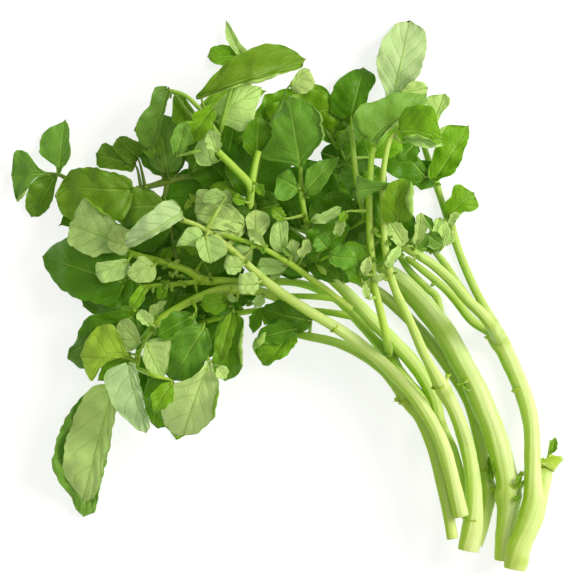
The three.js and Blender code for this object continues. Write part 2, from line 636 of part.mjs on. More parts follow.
function leafySolid(plant, pile, firstNumber) {
  const own = Float64Array.from(pile);
  const routes = [];
  const solids = [];
  plant.stems.forEach((points, index) => {
    const route = smoothRoute(points);
    const start = index === 0 ? null : nearestOnStems(routes, route[0].x, route[0].y);
    if (start) {
      route[0].x = start.x;
      route[0].y = start.y;
    }
    layRoute(pile, route, STEM_SAG, start, null);
    routes.push(route);
    raiseTube(own, route);
    solids.push(tubeSolid(route, stemSides(points[0][2]), false));
  });
  plant.blades.forEach((blade, index) => {
    const form = bladeForm(blade, firstNumber + index);
    const rows = bladeRows(form, layBlade(own, form));
    const stemPoint = nearestOnStems(routes, form.baseX, form.baseY);
    const stalk = stalkRoute(own, stemPoint, rows);
    raiseBlade(own, rows);
    raiseTube(own, stalk);
    solids.push(bladeSolid(rows), tubeSolid(stalk, STALK_SIDES, true));
  });
  pile.set(own);
  return outerBody(wasm.Manifold.union(solids).trimByPlane([0, 0, 1], 0));
}

function meshFrom(solid, name, colour) {
  const { vertProperties, triVerts } = solid.getMesh();
  const geometry = new THREE.BufferGeometry();
  geometry.setAttribute("position", new THREE.BufferAttribute(vertProperties, 3));
  geometry.setIndex(new THREE.BufferAttribute(triVerts, 1));
  geometry.computeVertexNormals();
  const material = new THREE.MeshStandardMaterial({ color: colour, roughness: 0.5, metalness: 0 });
  const mesh = new THREE.Mesh(geometry, material);
  mesh.name = name;
  return mesh;
}

const bunch = new THREE.Group();
const pile = newHeights();
let bladeNumber = 0;
LEAFY_STEMS.forEach((plant) => {
  bunch.add(meshFrom(leafySolid(plant, pile, bladeNumber), plant.name, plant.colour));
  bladeNumber += plant.blades.length;
});
bunch.position.set(-BUNCH_CENTRE_X, -BUNCH_CENTRE_Y, 0);

export default bunch;
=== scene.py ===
# A cut bunch of watercress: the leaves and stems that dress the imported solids.
# Plan sizes in the lists below are millimetres; everything that Blender gets is metres.
import functools
import math

import bpy
import numpy as np
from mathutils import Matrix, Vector


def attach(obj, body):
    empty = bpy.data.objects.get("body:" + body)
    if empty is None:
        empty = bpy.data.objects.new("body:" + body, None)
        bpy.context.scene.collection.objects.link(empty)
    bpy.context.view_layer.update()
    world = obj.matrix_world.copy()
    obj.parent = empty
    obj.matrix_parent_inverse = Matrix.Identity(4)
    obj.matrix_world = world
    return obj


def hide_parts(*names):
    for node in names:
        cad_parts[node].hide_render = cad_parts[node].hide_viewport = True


bl_info = {
    "name": "Cut watercress bunch",
    "version": (1, 0, 0),
    "blender": (4, 5, 0),
    "location": "View3D > Sidebar > Watercress",
    "description": "Makes the stems, leaves and studio of a cut watercress bunch",
    "category": "Object",
}

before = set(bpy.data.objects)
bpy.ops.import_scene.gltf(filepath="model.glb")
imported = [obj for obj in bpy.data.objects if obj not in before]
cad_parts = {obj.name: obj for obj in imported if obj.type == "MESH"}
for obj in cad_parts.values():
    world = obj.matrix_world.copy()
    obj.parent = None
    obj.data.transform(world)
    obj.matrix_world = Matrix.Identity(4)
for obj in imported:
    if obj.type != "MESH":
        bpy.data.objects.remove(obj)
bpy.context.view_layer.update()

MM = 0.001

# The bunch is drawn in the plan of the view from above; this moves it to the frame's origin.
PLAN_TO_FRAME = (1.0, 4.0)

# The leafy stems in the order they are laid down. Stem and branch routes are (x, y, radius) from
# the cut end to the growing tip. Blades are (base x, base y, tip x, tip y, width, fold, taper,
# look), where look is D dark, O olive, M mid green, G grey-green, B blue-green, Y yellow-green or
# T torn, and with the underside up P pale, W whitish or L light.
# The green of looks G and B is the leaf's own; their grey and blue casts are a painted sheen.
LEAFY_STEMS = {
    "leafy_stem_01": {"stems": [
        [(76.5, -104, 2.8), (79.5, -95, 2.7), (81.5, -83, 3.3), (80, -75, 2.5), (77.5, -60, 2.5),
         (73, -45, 2.5), (65, -32, 2.5), (55, -19, 2.4), (40, -4.5, 2.3), (24, 6, 2), (10, 16, 1.8),
         (-5, 28, 1.7), (-18, 40, 1.5), (-27, 44.5, 1.4), (-42, 44, 1.4), (-48, 42.5, 1.6),
         (-55, 40.5, 1.2), (-65, 38, 1.1), (-75, 36.2, 1)],
        [(81.5, -83, 1.2), (83.3, -75, 0.9), (83, -68, 0.9)],
        [(-48, 42.5, 1.1), (-49.5, 35, 0.9)],
    ], "blades": [
        (-24, 38, -30, 8, 24, 0.1, 0, "D"), (-46, 24, -58, 2, 22, 0.1, 0, "D"),
        (-42, 0, -58, -10, 16, 0.1, 0, "D"), (-44, 46, -58, 62, 16, 0.1, 0, "D"),
        (-30, 44, -48, 20, 26, 0.1, 0, "D"), (-22, 41, -36, 57, 18, 0.1, 0, "D"),
        (-62, 38, -54, 14, 20, -0.1, 0, "D"), (-93, 45, -103, 28, 13, 0.2, 0.2, "O"),
        (-92, 46, -89.5, 67.5, 13, 0.25, 0, "G"), (-93, 45.5, -111, 45, 21, 0.3, 0, "G"),
        (-50, 32, -70, 30, 15, 0.15, 0, "O"), (-61, 49, -77, 53, 15, -0.2, 0, "O"),
        (-60, 52, -68, 60, 7, 0.2, 0, "O"), (-48, 46, -50, 69, 17, -0.15, 0, "G"),
        (-52, 52, -57, 70, 9, 0.2, 0, "O"), (-63, 38.5, -93, 40, 24, 0.12, 0, "O"),
    ]},
    "leafy_stem_02": {"stems": [
        [(88, -110, 4.4), (88.5, -100, 4.5), (89.3, -90, 4.6), (89.2, -84, 5.4), (88.8, -78, 4.8),
         (84, -60, 4.9), (80, -50, 4.9), (75.5, -40, 4.8), (70, -30, 4.7), (64, -19, 4.6),
         (55, -7.5, 4.5), (47, 1, 4.2), (38, 8, 2.6), (24, 15, 2.1), (10, 22, 1.9), (-2, 27, 1.8),
         (-14, 34, 1.7), (-15, 41, 1.4), (-20, 46.5, 1.3), (-28.5, 56, 1.1)],
        [(92.5, -83, 1.2), (94, -76, 0.9)],
        [(66, -17, 1.5), (61, -5, 1.5), (57, -1, 1.5), (50, 6, 1.5), (46, 12, 1.5), (38, 24, 1.3),
         (30, 38, 1.2), (24, 50, 1)],
        [(-14, 36, 1.3), (-14, 43, 1.2), (-13, 50, 1), (-11.5, 54, 1)],
    ], "blades": [
        (-14, 36, -8, 60, 24, 0.1, 0, "D"), (2, 26, 14, 50, 24, 0.1, 0, "D"),
        (22, 16, 18, 38, 20, 0.1, 0, "D"), (40, 12, 28, 36, 20, 0.1, 0, "D"),
        (24, 50, 34, 64, 16, 0.1, 0, "D"), (44, 14, 46, 34, 12, 0.1, 0, "D"),
        (36, 34, 24, 50, 16, 0.1, 0, "D"), (-2, 26, -18, 12, 18, 0.1, 0, "D"),
        (-6, 66, 26, 74, 18, -0.15, 0, "M"), (-11.5, 52, -14, 64, 9, 0.2, 0, "D"),
        (-3, 33, -12, 31, 7, 0.2, 0, "D"), (-42, 77, -39, 61, 9, 0.2, 0, "M"),
        (-46, 78, -55, 54.5, 9, 0.35, 0, "G"), (-30, 56.5, -31, 72, 12, 0.25, 0, "M"),
        (-28, 50, -33, 66, 9, -0.2, 0, "P"), (-28.5, 67, -10, 80, 14, 0.15, 0, "P"),
        (-16, 93, -32, 93, 9, 0.15, 0, "M"), (-18, 94, -24.5, 107.5, 5.5, 0.3, 0.5, "P"),
        (-34, 76, 8, 91.5, 19, 0.3, 0.35, "O"), (1, 80, 9, 87, 8, 0.2, 0, "P"),
        (22, 55, 24, 63, 6, 0.2, 0, "M"),
    ]},
    "leafy_stem_03": {"stems": [
        [(91.6, -113.5, 4.6), (93.4, -105, 4.9), (97.1, -95, 4.9), (99, -86, 4.4), (99, -78, 3.8),
         (98.9, -70, 3.4), (98.4, -55, 3.4), (95, -42, 3.5), (88, -26, 3.6), (84.5, -20, 3.9),
         (79, -7, 1.9), (75.5, 0, 1.8), (70, 13, 1.7), (65.5, 27, 1.8), (62.5, 35, 1.4), (60, 43, 1.6),
         (56, 55, 1.2), (54, 60, 1), (47, 69, 0.9), (43, 74, 0.9)],
        [(92.5, -110, 3), (99.5, -95, 3.3), (102, -85, 3.2), (103.5, -78, 3.3), (104.5, -72, 4.2)],
        [(105, -74, 1.2), (106, -68, 1), (107, -62, 1)],
        [(86, -23, 2.4), (80, -13, 2.3), (72, -5, 2.2), (66, 2, 2.1), (60, 7.5, 2), (55, 11, 1.9),
         (50, 14, 1.8), (45, 17, 1.6), (40, 19, 1.5), (32, 27, 1.3), (28, 42, 1.2), (26, 62, 1)],
        [(84, -20, 2), (75, -14, 1.9), (70, -8, 1.8), (65, -2, 1.7), (60, 2.5, 1.6), (55, 6.5, 1.5),
         (48, 12, 1.3)],
        [(82, -15, 1.7), (76, -8, 1.6), (70, 0, 1.6), (64, 9, 1.5), (60, 14, 1.3), (57, 19, 1.1)],
    ], "blades": [
        (46, 17, 36, 40, 18, 0.1, 0, "D"), (60, 43.5, 47, 47, 11, 0.1, 0, "D"),
        (26, 68, 31, 88.5, 17, 0.15, 0, "D"), (56, 44, 43, 59, 16, -0.1, 0, "D"),
        (43, 75, 50, 107.5, 20, 0.2, 0, "W"), (45, 78, 57, 80, 8, 0.2, 0, "P"),
        (60, 65, 64, 78, 8, 0.2, 0, "P"), (60, 43.5, 73.5, 65, 12, 0.15, 0, "M"),
        (64.5, 28.5, 75.5, 38, 12, 0.2, 0, "M"), (60, 15, 62, 28, 7, 0.25, 0, "P"),
        (52, 17, 53.5, 29.5, 4.5, 0.25, 0, "P"), (47, 17, 41, 26, 7, 0.2, 0, "P"),
        (65.5, 24, 69, 30, 3.5, 0.2, 0, "P"),
    ]},
    "leafy_stem_04": {"stems": [
        [(72, -88, 2.3), (70.5, -80, 2.3), (67, -68, 2.3), (62, -57, 2.2), (57, -48, 2.2),
         (46, -35, 2.1), (35, -21, 2), (27, -12, 1.9), (20, -5, 1.8), (10, 0, 1.7), (0, 2, 1.6),
         (-10, 1.5, 1.6), (-25, 2.3, 1.5), (-33, 2.5, 1.9), (-40, 6.5, 1.5), (-50, 9.8, 1.4),
         (-60, 12.5, 1.3), (-66, 14.5, 1.1)],
        [(-33, 2.5, 1.2), (-40, 1.5, 1.1), (-50, 0.5, 1.1), (-60, 0, 1), (-66, 1.5, 1)],
        [(-55, 0.2, 1), (-60, -6, 0.9), (-62, -11, 0.9)],
    ], "blades": [
        (-28, 2, -32, -14, 16, 0.1, 0, "D"), (-62, 4, -82, -8, 18, 0.1, 0, "D"),
        (-30, 4, -42, 22, 20, 0.1, 0, "D"), (-62, -12, -89, -28, 18, 0.12, 0, "D"),
        (-66, 2, -98.5, 12, 22, 0.12, 0, "D"), (-66, 18, -87, 25, 22, 0.15, 0, "P"),
        (-63, 17, -72, 19, 9.5, 0.2, 0, "P"), (-63.5, 10, -76.5, 5, 9, 0.2, 0, "P"),
        (-52.5, 8.5, -64, 5, 11, 0.2, 0, "P"), (-57, -0.5, -62, -9, 5, 0.3, 0, "M"),
        (-33, 12, -45, 12, 10, 0.15, 0, "M"),
    ]},
    "leafy_stem_05": {"stems": [
        [(72, -89, 2.4), (70, -78, 2.5), (66.5, -66, 2.6), (62, -56, 2.6), (59, -44, 2.8), (52, -32, 3),
         (43, -22, 2.9), (34, -13, 2.8), (28, -6.5, 2.6), (21, 0.5, 2.2), (14.5, 6, 1.6), (12, 11, 1.3),
         (9, 20, 1.2), (7.5, 28, 1.1), (6, 36, 1.2), (5.7, 42, 1), (5.5, 49, 0.9)],
        [(62, -56, 2.2), (57, -47, 2.1), (50, -39.5, 2), (45, -33, 2), (41.5, -27.5, 2.5),
         (35, -20.5, 1.4), (30, -15, 1.4), (25, -9.5, 1.4), (20, -4.5, 1.3), (15, -0.5, 1.3),
         (10, 3, 1.3), (0, 10, 1.2), (-10, 15.5, 1.1), (-20, 18.7, 1), (-25, 20, 0.9)],
        [(41.5, -27.5, 1.7), (39.8, -20, 1.7), (37.5, -10, 1.6), (35, 0, 1.6), (34, 10, 1.5),
         (33.2, 20, 1.5), (33, 30, 1.4), (33, 38, 1.4), (33.7, 50, 1.2), (34.8, 56, 1.1)],
    ], "blades": [
        (-12, 18, -30, 30, 18, 0.1, 0, "D"), (8, 8, -8, 22, 16, 0.1, 0, "D"),
        (12, 10, 22, 28, 14, 0.1, 0, "D"), (30, 2, 24, 18, 12, 0.1, 0, "D"),
        (-22, 34, -37, 33, 12, 0.2, 0, "P"), (-17, 24, -36, 25, 12, 0.2, 0, "P"),
        (-11.5, 16.5, -12.5, 31, 10, 0.2, 0, "P"), (-1, 14.5, -3, 27, 8, 0.25, 0.4, "P"),
        (-1, 27, -6, 31, 5, 0.2, 0, "M"), (0, 8, -12, 8, 6, 0.2, 0, "P"), (3, 9, 2, 19, 6, 0.2, 0, "P"),
        (6, 11, 9, 19, 5, 0.2, 0, "P"), (10, 26, 22, 31.5, 4.5, 0.2, 0, "P"),
        (16, 15.5, 12, 20, 7, 0.2, 0, "B"), (17, 12, 28, 11, 8, 0.15, 0, "B"),
        (20, 20, 22, 27, 4, 0.2, 0, "P"), (7, 38, 21, 52, 10, 0.3, 0.35, "B"),
        (5, 39, -4, 44, 10, 0.25, 0, "B"), (5.5, 48.5, 1, 76, 25, -0.1, 0, "B"),
        (35, 56, 56, 77, 17, 0.15, 0, "G"),
    ]},
    "leafy_stem_06": {"stems": [
        [(73, -106, 4.4), (75, -94.5, 4.3), (75.3, -85, 3.6), (74.5, -75, 3.3), (72.7, -65, 3.2),
         (69.5, -55, 3), (66, -47, 2.9), (62, -40, 3.1), (57.5, -32, 2.1), (54, -25, 2),
         (50.5, -17, 1.9), (46.8, -9, 1.8), (43.5, -2, 1.7), (41.2, 5, 1.6), (39.7, 12, 1.5),
         (38.8, 20, 1.4), (38.4, 32, 1.3), (38.3, 44, 1.2), (40.5, 57, 1.1), (44, 61.5, 1)],
        [(63, -42, 1.1), (64.3, -36, 0.9)],
        [(41.5, 5, 0.9), (38.5, 3.5, 0.8), (37, 2.2, 0.8)],
    ], "blades": [
        (42, 39.5, 27, 38, 11, 0.2, 0, "G"), (44, 26, 44, 43, 12, 0.2, 0, "M"),
        (40, 8, 45.5, 16, 4, 0.2, 0, "P"), (46, 57, 62, 60, 8, 0.15, 0, "P"),
        (44.5, 61.5, 62, 58, 14, 0.25, 0, "M"),
    ]},
    "leafy_stem_07": {"stems": [
        [(69.5, -90, 2.2), (67.5, -82, 2.2), (64.5, -70, 2.2), (60.5, -59, 2.2), (51, -44, 2.2),
         (40, -32, 2.2), (30, -23.5, 2.2), (20, -16.5, 2.1), (12, -12, 2.1), (5, -8.5, 2),
         (-5, -4, 1.9), (-12, -1.8, 1.9), (-21.5, -1, 2.2), (-30, -2.3, 1.8), (-40, -6.5, 1.6),
         (-50, -12.5, 1.5), (-55, -18, 1.5), (-58.5, -23, 1.4), (-60, -29, 1.2), (-60.3, -33, 1)],
        [(5, -8.5, 1.3), (-4, -9, 1.3), (-15, -10, 1.2), (-25, -12, 1.2), (-35, -15, 1.1),
         (-45, -19.5, 1)],
        [(-35, -15, 1), (-33, -24, 0.9), (-31.5, -31, 0.9)],
        [(-60, -29, 1.1), (-65, -37, 1), (-70, -42, 0.9)],
    ], "blades": [
        (-22, -8, -33, -8, 7, 0.15, 0, "D"), (-50, -37, -54, -57, 11, 0.1, 0, "D"),
        (-22, -11.5, -24, -38, 12, 0.35, 0, "M"), (-33, -16, -46, -38, 19, -0.1, 0, "B"),
        (-31, -31, -42, -61, 27, 0.12, 0.15, "L"), (-47, -17, -38, -9, 8, 0.2, 0, "M"),
        (-53.5, -15, -47, -6, 8, 0.2, 0, "P"), (-54, -15, -59, -9.5, 5, 0.2, 0, "P"),
        (-58.5, -22.5, -67, -13.5, 8, 0.2, 0, "P"), (-73, -44, -82, -93, 23, 0.1, 0.3, "G"),
        (-70, -43, -82, -87, 22, 0.15, 0.3, "P"), (-60.5, -30, -83, -28, 20, 0.15, 0, "Y"),
        (-56.2, -22.5, -49.5, -36.5, 10.5, 0.2, 0.3, "P"), (-61, -31, -56, -58.5, 19, 0.12, 0.6, "W"),
    ]},
    "leafy_stem_08": {"stems": [
        [(66.5, -101, 2.3), (65, -92, 2.3), (62.8, -82, 2.3), (60.5, -72, 2.3), (57.5, -62, 2.3),
         (53.6, -53, 2.3), (48.5, -46.5, 2.4), (43, -38.5, 2.2), (38, -33, 2.1), (30, -27.2, 2),
         (20, -22.6, 1.9), (10, -20.3, 1.7), (2, -19, 1.3)],
        [(49, -47, 1.6), (46.5, -46.2, 1.4), (44.8, -45.3, 1.3)],
    ], "blades": [
        (10, -14, -10, -9, 11, 0.1, 0, "D"), (2, -19, -9, -32, 16, 0.12, 0, "M"),
        (4, -17, -12, -21, 8, 0.2, 0, "D"),
    ]},
    "leafy_stem_09": {"stems": [
        [(70, -92, 3.1), (64.5, -70, 3), (60.5, -59, 2.9), (55.5, -50, 2.8), (49.5, -42, 2.7),
         (40, -32, 2.6), (30, -23.5, 2.5), (20, -16.5, 2.3), (10, -10.5, 2.1), (0, -4, 2),
         (-10, 3.5, 1.8), (-20, 13, 1.4), (-30, 21, 1.2), (-35, 24, 1.1), (-40, 26, 1), (-44, 27, 0.9)],
    ], "blades": [
        (-33, 19, -44, 16, 8, 0.2, 0, "P"), (-32, 20, -30, 9, 10, 0.2, 0, "P"),
        (-18, 8, -25, 9, 7, 0.2, 0, "P"), (-11, 1.5, -19.5, 1, 9, 0.1, 0, "P"),
        (-41, 27.5, -64, 16, 13, 0.3, 0.1, "W"),
    ]},
}

# Margins of the blades that show best, as (share of the length, mm left, mm right) of the line
# from base to tip. The key is the blade's place in its leafy stem's list.
MARGINS = {
    "leafy_stem_01": {
        7: [(0, .5, .5), (.16, 1.4, 5), (.34, 3.2, 6.5), (.57, 4.3, 6.8), (.8, 3.5, 5.3),
            (.93, 2.5, 3.8), (1, 1.2, 1.6)],
        8: [(0, .6, .8), (.12, 1.2, 1.6), (.2, 4.5, 3), (.34, 8.5, 4), (.5, 9, 3.4), (.66, 8.5, 2.8),
            (.8, 6, 2.5), (.91, 2.5, 1.8), (1, 0, .6)],
        9: [(0, .5, .5), (.16, .6, .6), (.37, 1, 2.4), (.5, 2, 5.7), (.63, 6, 8.6), (.75, 9.5, 9.6),
            (.88, 10.5, 9.8), (.96, 9, 8), (1, 5, 5)],
        11: [(0, 3, 6), (.15, 3.2, 8), (.3, 3.3, 9.6), (.45, 3.8, 10.1), (.58, 4.1, 9), (.63, 4.2, 5.4),
            (.8, 4.5, 5.6), (.92, 4, 5), (1, 1, 2.5)],
        12: [(0, 4.4, 4.5), (.3, 4.5, 4.6), (.57, 4.6, 3.9), (.8, 4.4, 2.6), (.95, 3.5, 1.3),
            (1, 2, .3)],
        13: [(0, 3, 4), (.15, 6, 6), (.3, 7.5, 7), (.5, 7, 8), (.7, 5, 8), (.85, 3, 7), (1, 1, 4)],
        15: [(0, 6, 5), (.12, 12, 6), (.3, 13, 7), (.45, 13, 8.2), (.65, 13, 8.2), (.8, 12.5, 6.8),
            (.9, 11, 3.4), (1, 7, -1)],
    },
    "leafy_stem_02": {
        8: [(0, 6, 4), (.15, 8, 6), (.4, 8.5, 8), (.57, 9, 8), (.7, 7.5, 8.5), (.8, 4, 8.5),
            (.9, 1.5, 8), (1, -2, 5)],
        11: [(0, 1, 3.2), (.1, 1.2, 4), (.25, 1.6, 4.6), (.4, 2, 5.3), (.57, 2.2, 5.9), (.75, 1.9, 3.3),
            (.9, 1.2, 1.6), (1, .3, .5)],
        12: [(0, -1, 4), (.07, -.5, 7), (.2, -.3, 6.8), (.34, .2, 6.5), (.48, .6, 8), (.61, .8, 8.6),
            (.8, 1.2, 8), (.93, .9, 5), (1, .5, 3)],
        14: [(0, 5, .5), (.1, 7.2, 0), (.25, 8, .4), (.4, 7.6, 1.5), (.55, 5.3, 2), (.75, 1.9, 3),
            (.9, -1.1, 3.8), (1, -2.5, 4)],
        15: [(0, 4, 2), (.12, 5, 5), (.25, 5, 10), (.4, 5, 10.8), (.55, 5, 9), (.7, 4.5, 6),
            (.85, 3, 3.5), (1, 1, 1)],
        16: [(0, 4, 3), (.2, 5, 4), (.45, 4.5, 4.3), (.65, 4, 4.4), (.8, 3.2, 4.2), (.92, 2.3, 3.4),
            (1, 1.5, 1)],
        17: [(0, 2, 2.5), (.15, 2.4, 1.8), (.35, 3, 1.1), (.5, 2.9, 1), (.7, 2.3, .8), (.88, 1, .7),
            (1, .2, .2)],
        18: [(0, 1, 1), (.05, 2, 1), (.18, 6, 1), (.41, 9.7, 2), (.64, 10.8, 3), (.8, 9, 3),
            (.95, 4, 3), (1, .5, .8)],
        19: [(0, .6, 4), (.2, .8, 6), (.43, 1.4, 7), (.66, 2.1, 7), (.84, 1.9, 5.5), (.93, 1.5, 3.6),
            (1, .8, 1.5)],
    },
    "leafy_stem_03": {
        2: [(0, 8, 4), (.15, 9.5, 4.6), (.3, 9.9, 5), (.43, 9.6, 4.6), (.55, 9.2, 4.6), (.66, 8.2, 5.3),
            (.8, 6, 6), (.91, 3.8, 5.3), (.98, 1.5, 2.8), (1, .8, 1)],
        3: [(0, 6, 2), (.2, 7.5, 2.6), (.4, 9.2, 3), (.6, 10, 3.6), (.76, 9.3, 4.3), (.9, 6.6, 4.8),
            (.96, 4, 4.2), (1, 2.2, 2.4)],
        4: [(0, 2.3, 1.5), (.11, 3.8, 2.5), (.2, 6, 4.5), (.3, 8.3, 6.8), (.43, 9.8, 8.2),
            (.57, 9.8, 8.4), (.75, 8.3, 8.4), (.89, 6.2, 7), (.96, 4.8, 5.2), (1, 2, 2.4)],
        5: [(0, .5, 1), (.2, 1, 2), (.39, 3, 2.5), (.57, 3.3, 3), (.75, 2.9, 3), (.9, 2, 2.5),
            (1, .7, 1)],
        6: [(0, 1.5, .3), (.16, 3, .6), (.39, 5, .9), (.57, 6.2, 2.2), (.75, 6.2, 2.9), (.86, 4, 2.8),
            (.93, 2, 2.3), (1, .5, 1)],
        7: [(0, 2.5, 1), (.11, 4.6, 2.3), (.2, 5.2, 4.5), (.3, 5.8, 5.3), (.48, 7, 5), (.58, 8.3, 4.3),
            (.66, 9.2, 3.8), (.8, 8, 2.6), (.91, 4, 1.7), (1, .6, .6)],
        8: [(0, 2, 2), (.1, 3, 2.4), (.25, 4.6, 3), (.43, 4.7, 3.2), (.55, 5.9, 4.4), (.7, 7, 5.6),
            (.8, 6.6, 5.7), (.88, 5.4, 5.2), (.94, 2.5, 3.5), (1, 1, 1.5)],
    },
    "leafy_stem_04": {
        3: [(0, 8, 5), (.18, 9, 5.7), (.34, 10, 7.9), (.5, 10.5, 8.6), (.68, 10, 6.4), (.8, 9.3, 2.9),
            (.93, 7.8, 2), (1, 4, .5)],
        4: [(0, 8.5, 9), (.07, 10.8, 10), (.25, 11.3, 11), (.45, 11.6, 11.5), (.66, 10, 11.5),
            (.82, 6.8, 9.5), (.92, 4.6, 6.4), (.98, 2.8, 4), (1, 1.6, 2.2)],
        5: [(0, 4, 5.5), (.11, 5, 6.2), (.25, 6.8, 7), (.39, 9.4, 8.2), (.61, 9.4, 10),
            (.75, 8.7, 11.4), (.89, 7.4, 12), (.97, 6.5, 10), (1, 5.5, 7)],
        6: [(0, 3, 4), (.1, 4.5, 5.5), (.35, 4.9, 6), (.6, 4.5, 6), (.8, 3.5, 5), (.95, 1.5, 2.5),
            (1, .5, 1)],
        7: [(0, 1.5, 1.2), (.15, 4.5, 1.6), (.34, 6, 2.2), (.52, 5.7, 2.9), (.7, 5.2, 3.6),
            (.84, 4.7, 4.1), (.95, 3.8, 2.6), (1, 2, 1)],
        8: [(0, 3, 1.4), (.11, 4.6, 2.4), (.27, 5.8, 5), (.43, 5.7, 5.2), (.57, 5.4, 4), (.7, 4.7, 2.8),
            (.85, 3.4, 2), (.95, 1.9, 1.4), (1, .6, .5)],
        10: [(0, 4, 1), (.2, 4.8, 3.3), (.5, 4.9, 4.6), (.75, 4, 4.5), (.9, 2.5, 4.2), (1, .5, 3)],
    },
    "leafy_stem_05": {
        4: [(0, 6, 4), (.15, 7, 4.6), (.39, 7.5, 3.8), (.57, 8.3, 4.8), (.75, 8.5, 5.8), (.91, 8, 5),
            (1, 6, -1)],
        5: [(0, 2, 3), (.2, 6, 6), (.4, 9, 7.5), (.6, 10.5, 8), (.8, 9, 8), (.93, 6, 6), (1, 2, 3)],
        6: [(0, .4, .6), (.2, 2, 1.9), (.43, 3.6, 4.3), (.61, 4.1, 5.6), (.8, 3.7, 5), (.93, 2.3, 2.8),
            (1, .8, .8)],
        7: [(0, 2.8, 1.2), (.1, 4, 1.7), (.25, 4.8, 2.2), (.43, 4.9, 2.6), (.57, 4.5, 2.9),
            (.7, 4, 3.2), (.82, 3, 3.4), (.93, 1.8, 2.6), (1, .8, 1)],
        9: [(0, 1, 1.5), (.3, 3, 2.6), (.6, 3.4, 3.4), (.85, 3.8, 3.2), (1, 2, 1)],
        10: [(0, .6, .4), (.3, 2, 2.6), (.55, 3.4, 2.2), (.75, 2, 3), (1, .4, .8)],
        11: [(0, .5, .6), (.3, 3, 1.2), (.5, 1.6, 2.6), (.8, 2.2, 1.4), (1, .5, .3)],
        16: [(0, 0, 2.4), (.11, 1.6, 4), (.23, 4, 4.5), (.36, 5.1, 4.1), (.57, 4.5, 3), (.8, 2.7, 2),
            (.93, .8, 1.2), (1, .2, .6)],
        17: [(0, 3.5, .7), (.1, 5, 1.3), (.3, 7, 2.6), (.5, 7.7, 4.2), (.7, 7.5, 5.1), (.78, 6, 4),
            (.85, 3, 2.5), (1, 1, 1)],
        18: [(0, 1.3, .6), (.07, 4.4, 2.5), (.14, 10.8, 5.3), (.2, 14.6, 7.5), (.27, 14.4, 9.5),
            (.41, 11.2, 11.4), (.57, 9.2, 11.8), (.73, 7, 10.1), (.86, 4, 7.6), (.95, 2.6, 4.8),
            (1, 1.2, 1.8)],
        19: [(0, 12, 0), (.11, 14.8, 0), (.25, 15.2, .2), (.43, 12.1, .7), (.66, 9.4, 1.2),
            (.82, 6, 2.2), (.93, 2.5, 2.6), (1, .5, .8)],
    },
    "leafy_stem_06": {
        0: [(0, .6, 1.5), (.3, .8, 2.6), (.48, 1.2, 3.1), (.66, 2.4, 4.1), (.8, 3.8, 5),
            (.89, 4.6, 5.8), (.95, 4.8, 4), (1, 3, 1)],
        1: [(0, 5.5, 4.5), (.15, 6.2, 5.8), (.4, 6, 6), (.7, 5, 6.2), (.9, 3, 5.6), (1, -.5, 4.2)],
        3: [(0, 3, -2.8), (.14, 4.1, -.5), (.25, 4.4, 1.2), (.39, 3.6, 2.8), (.5, 2.4, 3.5),
            (.66, -.4, 4.1), (.8, -1.8, 4.2), (.93, -3, 4.1), (1, -3.5, 4)],
        4: [(0, 8, 3), (.12, 10.5, 2), (.2, 11, 1.5), (.43, 12.2, 1), (.66, 11.4, .8), (.82, 6.1, 1.5),
            (.93, 2.6, 2.2), (1, .5, 1.8)],
    },
    "leafy_stem_07": {
        1: [(0, 5, 6), (.3, 6, 6), (.6, 7, 5), (.8, 6.5, 3), (.95, 5, .5), (1, 4, -1)],
        2: [(0, 3.8, 3), (.08, 4.8, 4.2), (.3, 5.2, 5.8), (.43, 4.9, 6), (.57, 5.7, 6), (.75, 5.8, 6.2),
            (.88, 4.6, 6), (.96, 2.8, 4.5), (1, .5, 2.5)],
        3: [(0, 2, 2.5), (.1, 4.5, 5), (.25, 7, 7.5), (.41, 7.2, 9), (.57, 7.8, 8.2), (.75, 7, 6.8),
            (.9, 4.2, 5.5), (.98, 1.5, 3.8), (1, .5, 2)],
        4: [(0, .8, 1), (.1, 3, 2), (.2, 6.5, 3.5), (.34, 8, 8), (.45, 8.7, 14), (.57, 9.4, 15.5),
            (.68, 8.6, 14), (.78, 7.2, 11.5), (.88, 4.8, 9.5), (.94, 2, 8.5), (1, -1, 5)],
        8: [(0, 4, .3), (.08, 6, .6), (.2, 6, 1.4), (.39, 5.2, 2.5), (.61, 4.2, 3.4), (.8, 3.4, 3.1),
            (.93, 2.4, 2), (1, 1, .8)],
        9: [(0, 2, 7), (.08, 4, 10), (.18, 4.8, 12.4), (.34, 5, 15.2), (.57, 5, 15.8), (.75, 4.8, 12.4),
            (.86, 4.6, 6.6), (.93, 4.4, 4.6), (.98, 4, 3.4), (1, 2.6, 1.8)],
        10: [(0, 1.5, 5), (.06, 2.5, 9), (.15, 3.4, 11), (.3, 4, 12.2), (.5, 4.4, 12.8),
            (.68, 4.7, 12.4), (.8, 4.7, 10), (.88, 4.5, 7), (.95, 4, 3), (1, 2.5, .5)],
        11: [(0, .5, .8), (.15, -.5, 3), (.25, -1, 7), (.35, -.3, 11), (.5, 1.5, 14), (.62, 4, 13.7),
            (.75, 9.2, 12), (.85, 7.5, 9.3), (.93, 4, 6.7), (1, 0, 2)],
        12: [(0, 1.5, .6), (.06, 7, 1), (.12, 8.8, 1.8), (.22, 9.3, 2.9), (.34, 8.7, 3.8), (.5, 7, 4.2),
            (.66, 5.2, 3.8), (.84, 3.5, 2.8), (.95, 2, 1.2), (1, .8, .4)],
        13: [(0, .6, 6), (.05, .8, 10.5), (.11, .9, 12), (.25, 1, 12.7), (.4, 1.1, 11.8),
            (.52, 1.2, 10.8), (.66, 1.4, 8.9), (.8, 1.8, 6), (.93, 2, 3.8), (1, 1.4, 2.2)],
    },
    "leafy_stem_08": {
        1: [(0, 3.5, 6), (.2, 4.2, 7.5), (.43, 3.8, 9), (.6, 3.8, 10), (.72, 1.8, 9.4), (.86, 1.5, 8),
            (.95, 1.6, 5), (1, 1.5, 3.5)],
    },
    "leafy_stem_09": {
